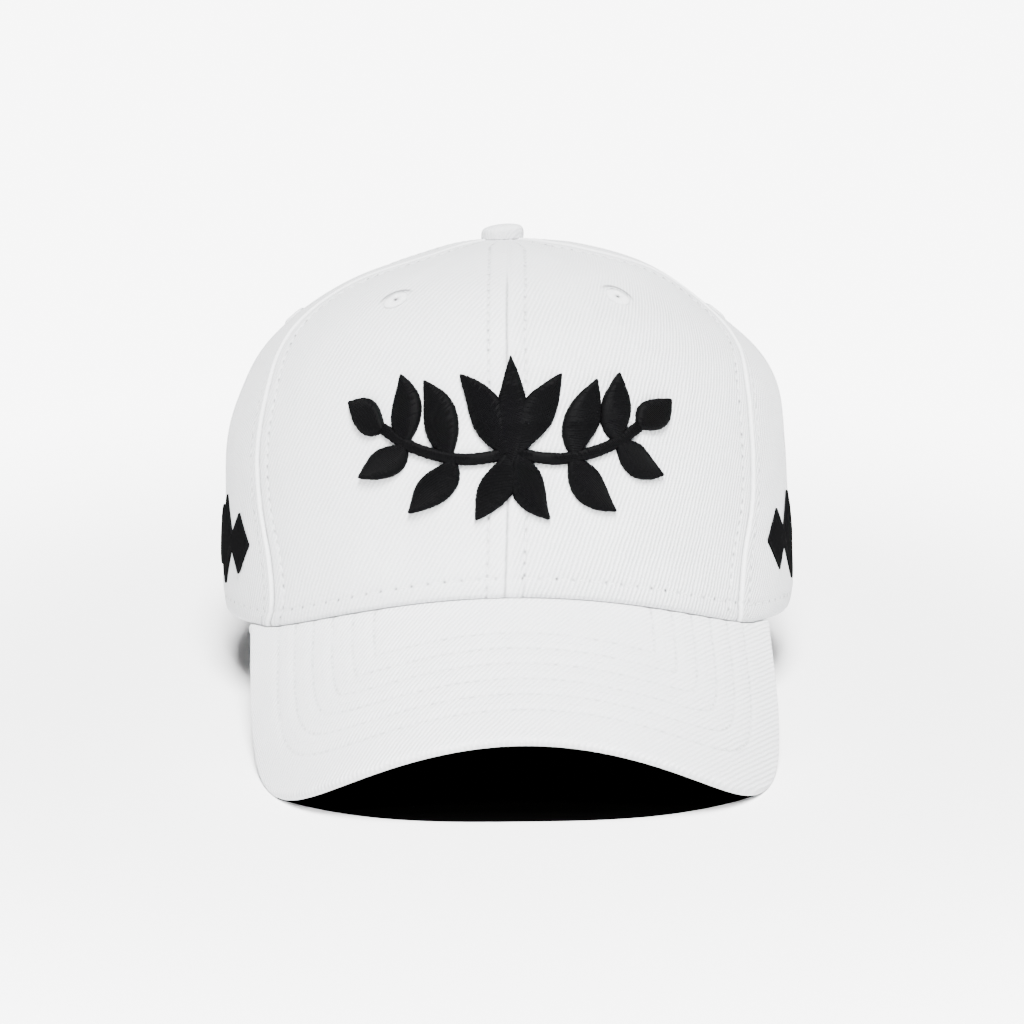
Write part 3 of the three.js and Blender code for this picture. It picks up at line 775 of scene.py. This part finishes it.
# Each stitch row keeps its distance from the edge, and runs up to the rim.
leg = np.gradient(edge_line, axis=0)
inward = unit(np.stack((leg[:, 1], -leg[:, 0]), -1))
channel_lines = []
for distance in CHANNELS:
    line = edge_line + inward * distance
    off, _ = nearest_on(edge_line, line)
    rim_forward = np.interp(line[:, 0], rim_flat[:, 0], rim_flat[:, 1])
    line = line[(off > distance - 0.05) & (line[:, 1] > rim_forward + 1.5)]
    channel_lines.append(line[::4])

nearest_row = np.argmin(np.abs(off_edge[..., None] - CHANNELS), -1)
channel_off = off_edge - CHANNELS[nearest_row]
channel_run = np.full(shape, CHANNEL_PITCH / 2)
for k, line in enumerate(channel_lines):
    mine = (nearest_row == k) & (np.abs(channel_off) < 2.5)
    channel_run[mine] = nearest_on(line, flat[mine])[1]

half = PEAK_THICKNESS / 2
roll = np.clip(off_edge, 0, half)
thick = np.sqrt(half**2 - (half - roll) ** 2)
thick = (thick - CHANNEL_DIP * ridge(channel_off, 0, CHANNEL_REACH)
         + CHANNEL_PUFF * (1 - ridge(channel_off, 0, CHANNEL_PUFF_REACH)))
thick = np.where(off_edge > 0, np.maximum(thick, 0), 0)

tuck = crown_point(across * PEAK_REACH, 0, -CLOTH_WALL)[0]
tuck[:, 2] = crown_point(across * PEAK_REACH, 0)[0][:, 2] - PEAK_GAP
middle = surface + through * half
# Each channel's stitch line and needle holes are darkened as painted shade.
channel_rows = [("channel_off", "channel_run", CHANNEL_PITCH, 0.3, 0.42)]
white_cover = twill("peak_twill", channel_rows, ribs=0.22)
black_cover = twill(
    "black_twill", channel_rows, colours=(BLACK_TWILL, BLACK_TWILL_SHADE), gloss=0.05)
covers = []
peak_faces = {}


def with_tuck(marks):
    """Marks of the board, with one more row for the cloth tucked in behind the rim."""
    return np.concatenate((marks[:1], marks))


for side, over in (("upper", -1), ("lower", 1)):
    inner = tuck + max(over, 0) * np.array((0, 0, -PEAK_THICKNESS))
    grid = np.concatenate((inner[None], middle + through * (over * thick)[..., None]))
    pattern = slanted(with_tuck(flat[..., 0]), -with_tuck(flat[..., 1]), PEAK_SLANT)
    order = slice(None, None, over)
    cover, row, column = lay_grid("peak_" + side, grid[order])
    set_weave(cover, pattern[order][row, column])
    set_mark(cover, "channel_off", with_tuck(channel_off)[order][row, column])
    set_mark(cover, "channel_run", with_tuck(channel_run)[order][row, column])
    cover.data.materials.append(white_cover)
    cover.data.materials.append(black_cover)
    if side == "lower":
        depth = with_tuck(off_edge)[row, column]
        for face in cover.data.polygons:
            face.material_index = int(min(depth[i] for i in face.vertices) > WRAPPED)
    covers.append(cover)
    peak_faces[side] = middle + through * (over * (thick + STITCH_CLEAR))[..., None]

peak_cover = join(covers, "peak_cover")
close_up(peak_cover)
shade_smooth(peak_cover)
press_on_floor(peak_cover)
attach(peak_cover, "root")
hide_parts("peak")

# Stitches
# Cotton thread, sunk into the cloth: two rows beside each crown seam, one above the
# rim, and six round the peak, white above and black below.
STITCH_WIDTH = 0.5
STITCH_HEIGHT = 0.36
STITCH_GAP = 0.9
STITCH_LIFT = 0.02
STITCH_SINK = 0.22

bpy.ops.object.select_all(action="DESELECT")
bpy.ops.mesh.primitive_uv_sphere_add(segments=6, ring_count=5, radius=0.5)
stitch = bpy.context.active_object
stitch_form = np.array([tuple(v.co) for v in stitch.data.vertices])[:, (2, 0, 1)]
stitch_faces = []
for face in stitch.data.polygons:
    corners = list(face.vertices)
    first = corners.index(min(corners))
    stitch_faces.append(corners[first:] + corners[:first])
stitch_faces.sort()
bpy.ops.object.delete()


def sew(name, lines, pitch):
    """Copies of one stitch along lines, each with its directions out and where its run is."""
    places, faces = [], []
    for line, outward, start in lines:
        run = run_along(line) + start
        for k in range(int(np.ceil(run[0] / pitch)), int(run[-1] / pitch)):
            ends = (k * pitch + STITCH_GAP / 2, (k + 1) * pitch - STITCH_GAP / 2)
            tail, head = (
                np.array([np.interp(end, run, line[:, axis]) for axis in range(3)])
                for end in ends
            )
            out = outward[np.searchsorted(run, sum(ends) / 2) - 1]
            ahead = head - tail
            length = np.linalg.norm(ahead)
            ahead = ahead / length
            aside = unit(np.cross(out, ahead))
            out = np.cross(ahead, aside)
            form = stitch_form.copy()
            sunk = STITCH_SINK * (2 * form[:, 0]) ** 2
            local = (tail + head) / 2 + form[:, :1] * length * ahead
            local = local + form[:, 1:2] * STITCH_WIDTH * aside
            local = local + (form[:, 2:] * STITCH_HEIGHT - sunk[:, None] + STITCH_LIFT) * out
            faces += [[i + len(places) * len(form) for i in face] for face in stitch_faces]
            places.append(local)
    mesh = bpy.data.meshes.new(name)
    mesh.from_pydata(stand(np.concatenate(places)).tolist(), [], faces)
    piece = bpy.data.objects.new(name, mesh)
    bpy.context.scene.collection.objects.link(piece)
    only(piece)
    bpy.ops.object.shade_smooth()
    press_on_floor(piece)
    return piece


flat_tree = search_tree(flat.reshape(-1, 2))


def face_points(line, face):
    """Where a line of the flat pattern lies on a face of the peak, and the ways down there."""
    points, downs = [], []
    for place in line:
        r, c = divmod(flat_tree.find((*place, 0))[1], shape[1])
        downs.append(through[r, c])
        r, c = min(max(r, 1), shape[0] - 2), min(max(c, 1), shape[1] - 2)
        over, ahead = flat[r, c + 1] - flat[r, c - 1], flat[r + 1, c] - flat[r - 1, c]
        share = np.linalg.solve(np.stack((over, ahead), 1), place - flat[r, c])
        steps = (face[r, c + 1] - face[r, c - 1], face[r + 1, c] - face[r - 1, c])
        points.append(face[r, c] + share[0] * steps[0] + share[1] * steps[1])
    return np.array(points), np.array(downs)


THREAD_WHITE = (0.78, 0.785, 0.79, 1)
THREAD_WORN = (0.6, 0.605, 0.61, 1)
THREAD_SHADE = (0.22, 0.23, 0.24, 1)
THREAD_BLACK = (0.0008, 0.0008, 0.0009, 1)
THREAD_BLACK_WORN = (0.003, 0.003, 0.0033, 1)
STRAND_SCALE = 2600.0
STRAND_DEPTH = 0.0001
STRAND_RELIEF = 0.6

white_thread = Finish("white_thread", Roughness=0.7, Specular_IOR_Level=0.3)
twist = white_thread.add("ShaderNodeTexCoord", {}, {}, "Object")
strand = white_thread.noise(twist, STRAND_SCALE, 3.0)
pale = white_thread.blend(strand, THREAD_WHITE, THREAD_WORN)
# Painted shade: the thread goes dark on a ring's upper outer side.
white_thread.feed(
    "Base Color", white_thread.blend(white_thread.mark("ring_painted_shade"), pale, THREAD_SHADE))
white_thread.relief(strand, STRAND_DEPTH, STRAND_RELIEF)

black_thread = Finish("black_thread", Roughness=0.6, Specular_IOR_Level=0.02)
floss = black_thread.add("ShaderNodeTexCoord", {}, {}, "Object")
fibre = black_thread.noise(floss, STRAND_SCALE, 3.0)
black_thread.feed("Base Color", black_thread.blend(fibre, THREAD_BLACK, THREAD_BLACK_WORN))
black_thread.feed("Roughness", 0.45 + 0.25 * fibre)
black_thread.relief(fibre, STRAND_DEPTH, STRAND_RELIEF)

peak_lines = {"upper": [], "lower": []}
for line in channel_lines:
    for side, way in (("upper", -1), ("lower", 1)):
        points, down = face_points(line, peak_faces[side])
        peak_lines[side].append((points, unit(down) * way, 0))

for name, lines, pitch, thread, slot in (
    ("seam_stitches", seam_lines, SEAM_PITCH, white_thread, "white_thread"),
    ("rim_stitches", rim_lines, RIM_PITCH, white_thread, "white_thread"),
    ("peak_stitches", peak_lines["upper"], CHANNEL_PITCH, white_thread, "white_thread"),
    ("under_stitches", peak_lines["lower"], CHANNEL_PITCH, black_thread, "black_thread"),
):
    stitches = sew(name, lines, pitch)
    stitches.data.materials.append(thread.material)
    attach(stitches, "root")

# Sweatband
# A ribbed white cotton strip inside the rim, sewn along its lower edge. Its ends butt
# together at the back, and its free upper edge stands a little off the cloth.
BAND_CLEARANCE = 0.5
BAND_THICKNESS = 1.2
BAND_HEIGHT = 32
BAND_END = pi - radians(0.3)
BAND_SLACK = 0.25
BAND_WAVES = 11
BAND_RIB = 0.9
BAND_FLECK = 0.6
BAND_WHITE = (0.86, 0.865, 0.87, 1)
BAND_SHADE = (0.72, 0.725, 0.735, 1)

heights = np.linspace(0, BAND_HEIGHT, 25)[:, None]
azimuths = np.linspace(-BAND_END, BAND_END, 361)
slack = BAND_SLACK * (heights / BAND_HEIGHT) ** 2 * (1 + np.sin(azimuths * BAND_WAVES + 1))
slack = slack + BAND_SLACK * ridge(heights, RIM_ROW, 0.8)
band_out = -CLOTH_WALL - BAND_CLEARANCE - slack
points, _ = crown_point(azimuths, section_at_height(heights), band_out, puffed=False)
sweatband, row, column = lay_grid("sweatband_strip", points)
band_run = run_along(points[12])
set_weave(sweatband, np.stack((band_run[column], heights[row, 0]), -1))
add_wall(sweatband, BAND_THICKNESS)
shade_smooth(sweatband)

tape = Finish("white_tape", Roughness=0.95, Specular_IOR_Level=0.2)
strip = tape.weave()
ribs = (tape.part_of(strip, 1) / BAND_RIB).wave()
flecks = (tape.part_of(strip, 0) / BAND_FLECK).wave()
lint = tape.noise(strip, 1.6, 4.0)
# Painted shade between the tape's ribs, with random lint.
tape.feed("Base Color", tape.blend((1 - ribs) * 0.4 + lint * 0.5, BAND_WHITE, BAND_SHADE))
tape.relief(ribs * 0.8 + flecks * 0.2 + lint * 0.3, 0.00025, 0.8)
sweatband.data.materials.append(tape.material)
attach(sweatband, "root")
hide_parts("sweatband")

# Button
# A domed metal button covered in the same twill, gathered in under its edge. A rivet holds
# it through the middle of the crown, with a washer inside.
BUTTON_LIFT = 0.3
BUTTON_TILT = radians(5)
BUTTON_SLANT = 60
GATHERS = 13
GATHER_DEPTH = 0.09
GATHERED_FROM = 5.6
# Reach and height, from the washer up the rivet and over the button.
BUTTON_PROFILE = np.array((
    (0.05, -4.1), (5.2, -4.1), (5.5, -3.9), (5.5, -3.3), (5.2, -3.1), (1.9, -3.1), (1.9, -1.5),
    (1.9, 0), (5.6, -0.1), (6.5, -0.4), (6.82, -0.2), (6.87, 0.8), (6.82, 1.8), (6.67, 2.6),
    (6.3, 3.15), (5.7, 3.6), (4.8, 3.95), (3.6, 4.2), (2.4, 4.36), (1.2, 4.45), (0.05, 4.5),
))

turns = np.linspace(0, tau, 73)
fine = np.linspace(0, len(BUTTON_PROFILE) - 1, 81)
reach, lift = (np.interp(fine, range(len(BUTTON_PROFILE)), side) for side in BUTTON_PROFILE.T)
gathered = (ridge(lift, 1.0, 1.1) * (reach > GATHERED_FROM))[:, None]
gathers = GATHER_DEPTH * np.sin(turns * GATHERS) * gathered
reach = reach[:, None] + gathers
lift = lift[:, None] + np.tan(BUTTON_TILT) * reach * np.sin(turns) * ramp(lift, -1.5, 1)[:, None]
height = SECTIONS[TOP, 0] + BUTTON_LIFT + lift
points = np.stack((reach * np.sin(turns), -reach * np.cos(turns), height), -1)
button, row, column = lay_grid("button_cover", points)
button_run = run_along(points[:, 0])
spread = (button_run[-1] - button_run)[:, None] * np.ones_like(turns)
cover = slanted(spread * np.sin(turns), -spread * np.cos(turns), BUTTON_SLANT)
set_weave(button, cover[row, column])
close_up(button)
shade_smooth(button)
button.data.materials.append(twill("button_twill", ribs=0.06, relief=0.0001))
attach(button, "root")
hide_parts("top_button")

# Eyelets
# Rings of white thread, satin-stitched round a small hole in each panel.
RING_RADIUS = 2.4
RING_TUBE = 1.65
RING_THREADS = 40
RING_LIFT = 0.1
RING_FLATNESS = 0.5
RING_SWELL = 0.1
THREAD_UNEVEN = 0.09

rng = np.random.default_rng(5)
for name, (_, _, _, _, _, eyelet) in PANELS.items():
    centre, along, up, out = stand_at(*eyelet)
    bpy.ops.mesh.primitive_torus_add(
        major_radius=RING_RADIUS, minor_radius=RING_TUBE,
        major_segments=RING_THREADS * 4, minor_segments=10,
    )
    ring = bpy.context.active_object
    ring.name = "ring_" + name
    form = np.array([tuple(v.co) for v in ring.data.vertices])
    turn = np.arctan2(form[:, 1], form[:, 0])
    core = np.stack((np.cos(turn), np.sin(turn), 0 * turn), -1) * RING_RADIUS
    thread = np.rint(turn / tau * RING_THREADS).astype(int) % RING_THREADS
    uneven = rng.uniform(-THREAD_UNEVEN, THREAD_UNEVEN, RING_THREADS)[thread]
    swell = 1 + RING_SWELL * np.cos(turn * RING_THREADS) + uneven
    form = core + (form - core) * swell[:, None]
    form[:, 2] = RING_LIFT + RING_FLATNESS * form[:, 2]
    outward = 1 if name.endswith("right") else -1
    # The ring's upper outer side gets painted shade.
    away = form[:, 1] + SHADE_TURN * outward * form[:, 0]
    away = away / np.hypot(1, SHADE_TURN)
    set_mark(ring, "ring_painted_shade", ramp(away, 0.6, 2.6) * ramp(np.hypot(*form.T[:2]), 2.3, 3.5))
    placed = centre + form[:, :1] * along + form[:, 1:2] * up + form[:, 2:] * out
    ring.data.vertices.foreach_set("co", stand(placed).ravel())
    ring.data.update()
    only(ring)
    bpy.ops.object.shade_smooth()
    ring.data.materials.append(white_thread.material)
    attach(ring, "root")
    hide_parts("eyelet_" + name)

# Leaf sprig
# Black thread satin-stitched over foam: two stems from the front seam, and fifteen leaves.
# Each thread crosses its leaf or stem, and wraps down over the foam's edge into the cloth.
THREAD_PITCH = 0.5
PUFF = 2.8
STEM_PUFF = 2.24
STITCH_EDGE = 0.45
STITCH_TIP = 0.8
WRAP_RADIUS = 92
STEM_WIDTH = 3.6
LEAF_CURL = 0.13
THREAD_SLANT = 0.28
WIDTH_UNEVEN = 0.1
THREAD_RELIEF = 0.1
SATIN_LIFT = 0.2
# The cross-section of satin over foam: how far aside, and its height as a share.
SATIN_SECTION = np.array((
    (-1, -0.06), (-1.01, 0.3), (-0.95, 0.56), (-0.82, 0.75), (-0.6, 0.9), (-0.3, 0.98), (0, 1),
    (0.3, 0.98), (0.6, 0.9), (0.82, 0.75), (0.95, 0.56), (1.01, 0.3), (1, -0.06), (-1, -0.06),
))

STEM = np.array(((0, 57), (15, 55), (30, 58), (42, 64)))
# Each leaf's place along its stem, turn off it, length and width, then the middle leaf's foot,
# length and width.
LEAVES = (
    (0.07, 68, 28, 10.5), (0.43, 58, 25, 10.5), (0.75, 52, 21, 9.5), (0.06, -56, 24, 10),
    (0.4, -58, 23, 10), (0.75, -60, 19, 9), (0.97, 0, 16, 9),
)
MIDDLE_LEAF = (53, 33, 9.5)


def curve_through(knots, share):
    """A smooth curve through points."""
    spot = np.clip(share, 0, 1) * (len(knots) - 1)
    low = np.minimum(spot.astype(int), len(knots) - 2)
    f = (spot - low)[:, None]
    before, after = np.maximum(low - 1, 0), np.minimum(low + 2, len(knots) - 1)
    leave, arrive = (knots[low + 1] - knots[before]) / 2, (knots[after] - knots[low]) / 2
    start = (2 * f**3 - 3 * f**2 + 1) * knots[low] + (f**3 - 2 * f**2 + f) * leave
    return start + (3 * f**2 - 2 * f**3) * knots[low + 1] + (f**3 - f**2) * arrive


def satin(name, path_at, length, width_at, azimuth, height, slant, tapered=True):
    """A stroke of satin stitches on the crown, along a path of u round it and z up it."""
    rows = max(8, 2 * int(length / THREAD_PITCH))
    share = np.linspace(0, 1, rows + 1)
    aside, rise = SATIN_SECTION.T
    half = (STITCH_TIP + width_at(share)) / 2
    uneven = rng.uniform(-WIDTH_UNEVEN, WIDTH_UNEVEN, rows // 2 + 1)
    half = (half + np.repeat(uneven, 2)[:rows + 1])[:, None]
    slid = share[:, None] + slant * half * aside / length * np.minimum(1, half / 2)
    slid = np.clip(slid, 0, 1)
    flat_slid = slid.ravel()
    place = path_at(flat_slid).reshape(*slid.shape, 2)
    ahead = path_at(flat_slid + 0.004) - path_at(flat_slid - 0.004)
    ahead = unit(ahead).reshape(*slid.shape, 2)
    u = place[..., 0] + aside * half * ahead[..., 1]
    z = place[..., 1] - aside * half * ahead[..., 0]
    crest = STITCH_EDGE + (1 - STITCH_EDGE) * np.sin(slid * pi) ** 0.5 if tapered else 1
    thread = THREAD_RELIEF * (-1.0) ** np.arange(rows + 1)[:, None] * (rise > 0)
    out = height * crest * rise + thread + np.where(rise > 0, SATIN_LIFT, 0)
    points, _ = crown_point(azimuth + u / WRAP_RADIUS, section_at_height(z), out)
    stroke, row, column = lay_grid(name, points)
    run = run_along(points[:, 6])
    over = run_along(points[rows // 2])
    set_weave(stroke, np.stack((run[row], over[column]), -1))
    close_up(stroke)
    shade_smooth(stroke, 70)
    return stroke


def leaf(foot, angle, length, width, curl):
    tip = length * np.array((cos(angle), sin(angle)))
    bend = curl * LEAF_CURL * np.array((-tip[1], tip[0]))
    middle = foot + tip / 2 + bend

    def path_at(share):
        s = share[:, None]
        return (1 - s) ** 2 * foot + 2 * s * (1 - s) * middle + s**2 * (foot + tip)

    def width_at(share):
        return width * np.maximum(0, np.sin(pi * share**0.85))

    return satin("leaf", path_at, length, width_at, 0, PUFF, THREAD_SLANT)


strokes = [leaf(np.array((0, MIDDLE_LEAF[0])), pi / 2, *MIDDLE_LEAF[1:], 0)]
for side in (-1, 1):
    knots = STEM * (side, 1)
    stem_path = lambda share, knots=knots: curve_through(knots, share)
    stem_length = run_along(stem_path(np.linspace(0, 1, 50)))[-1]
    strokes.append(satin(
        "stem", stem_path, stem_length, lambda share: STEM_WIDTH - STITCH_TIP + 0 * share,
        0, STEM_PUFF, THREAD_SLANT,
    ))
    for place, off_stem, length, width in LEAVES:
        foot, before, after = stem_path(np.array((place, place - 0.01, min(place + 0.01, 1))))
        way = after - before
        angle = np.arctan2(way[1], way[0]) + side * radians(off_stem)
        strokes.append(leaf(foot, angle, length, width, side * np.sign(off_stem)))

sprig = join(strokes, "leaf_sprig")
sprig.data.materials.append(black_thread.material)
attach(sprig, "root")
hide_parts("front_ornament")

# Side lozenges
# Flat black embroidery on each side panel: three overlapping lozenges of upright stitches.
FLAT_THREAD = 0.9
SIDE_AZIMUTH = radians(79)
SIDE_HEIGHT = 25
# Where each starts and ends along its row, and how tall it is.
LOZENGES = ((-25, -8, 18), (-10, 10, 27), (8, 25, 18))

for hand, azimuth in (("right", SIDE_AZIMUTH), ("left", -SIDE_AZIMUTH)):
    strokes = []
    for start, end, tall in LOZENGES:
        strokes.append(satin(
            "lozenge",
            lambda share, start=start, end=end: np.stack(
                (start + (end - start) * share, SIDE_HEIGHT + 0 * share), -1),
            end - start,
            lambda share, tall=tall: tall * np.maximum(0, 1 - np.abs(2 * share - 1)),
            azimuth, FLAT_THREAD, 0, tapered=False,
        ))
    motif = join(strokes, "lozenges_" + hand)
    motif.data.materials.append(black_thread.material)
    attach(motif, "root")
    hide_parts("side_motif_" + hand)

# Floor and light
# A pale sweep of paper that glows as painted light except near the cap, with a black sheet under
# the cap as a painted shadow. One broad soft light stands high in front, and a lamp is aimed at
# the middle of the peak.
FLOOR_SIZE = 12
# The paper's painted glow: its strength, how far from the cap's middle it starts, and how far it
# takes to rise to full.
GLOW = 3.5
GLOW_START = 0.1
GLOW_REACH = 0.28
# Outline of the black sheet of painted shadow under the cap, in metres, its lift off the floor,
# and its points.
SHADOW_HALF_WIDTH = 0.073
SHADOW_FRONT = -0.123
SHADOW_CORNERS = -0.101
SHADOW_BACK = 0.085
SHADOW_LIFT = 0.0001
SHADOW_POINTS = 120
PAPER = (0.96, 0.96, 0.96, 1)
PAPER_GRAIN = (0.94, 0.94, 0.94, 1)
SHADOW_BLACK = (0.001, 0.001, 0.001, 1)
KEY_PLACE = (0, -1.0, 2.2)
KEY_WAY = Vector((0.03, -0.42, 0.9))
KEY_STRENGTH = 17
KEY_SPREAD = radians(22)
LAMP_PLACE = Vector((0, -1.0, 0.95))
LAMP_TARGET = Vector((0, -0.1, 0.04))
LAMP_POWER = 350
LAMP_SPREAD = radians(8)
LAMP_SIZE = 0.12
SKY = (0.97, 0.98, 1, 1)
SKY_STRENGTH = 0.04

bpy.ops.mesh.primitive_plane_add(size=FLOOR_SIZE)
floor = bpy.context.active_object
floor.name = "floor"
paper = Finish("white_paper", Roughness=0.9, Emission_Strength=GLOW)
sheet = paper.add("ShaderNodeTexCoord", {}, {}, "Object")
grain = paper.noise(sheet, 300.0, 3.0)
paper.feed("Base Color", paper.blend(grain, PAPER, PAPER_GRAIN))
sheet_x, sheet_y = paper.part_of(sheet, 0), paper.part_of(sheet, 1)
# Painted light: the paper glows, with no glow near the cap and full glow farther out, so the
# floor is darker round the cap.
from_cap = (sheet_x * sheet_x + sheet_y * sheet_y).work_alone("SQRT") - GLOW_START
glow = 1 - from_cap.at_least(0.0).peak(GLOW_REACH)
paper.feed("Emission Color", paper.blend(glow, (0, 0, 0, 1), (1, 1, 1, 1)))
floor.data.materials.append(paper.material)

# The black sheet is a painted shadow: it stands for the deep shade on the floor under the peak.
bpy.ops.mesh.primitive_circle_add(vertices=SHADOW_POINTS, radius=1, fill_type="NGON")
shadow_sheet = bpy.context.active_object
shadow_sheet.name = "painted_shadow"
turn = np.linspace(0, tau, SHADOW_POINTS, endpoint=False)
shadow_x = SHADOW_HALF_WIDTH * np.cos(turn)
bow = (SHADOW_CORNERS - SHADOW_FRONT) * np.abs(np.cos(turn)) ** 3
shadow_y = np.where(turn < pi, SHADOW_BACK * np.sin(turn), SHADOW_FRONT + bow)
shadow_sheet.data.vertices.foreach_set(
    "co", np.stack((shadow_x, shadow_y, 0 * turn + SHADOW_LIFT), -1).ravel())
shadow_sheet.data.update()
painted_shadow = Finish("painted_shadow", Base_Color=SHADOW_BLACK, Specular_IOR_Level=0.0)
shadow_sheet.data.materials.append(painted_shadow.material)

bpy.ops.object.light_add(type="SUN", location=KEY_PLACE)
key_light = bpy.context.active_object
key_light.name = "key_light"
key_light.data.energy = KEY_STRENGTH
key_light.data.angle = KEY_SPREAD
key_light.rotation_euler = KEY_WAY.to_track_quat("Z", "Y").to_euler()

bpy.ops.object.light_add(type="SPOT", location=LAMP_PLACE)
front_lamp = bpy.context.active_object
front_lamp.name = "front_lamp"
front_lamp.data.energy = LAMP_POWER
front_lamp.data.spot_size = LAMP_SPREAD
front_lamp.data.spot_blend = 1
front_lamp.data.shadow_soft_size = LAMP_SIZE
front_lamp.rotation_euler = (LAMP_PLACE - LAMP_TARGET).to_track_quat("Z", "Y").to_euler()

sky = bpy.data.worlds.new("studio")
sky.use_nodes = True
backdrop = sky.node_tree.nodes["Background"]
backdrop.inputs["Color"].default_value = SKY
backdrop.inputs["Strength"].default_value = SKY_STRENGTH
bpy.context.scene.world = sky
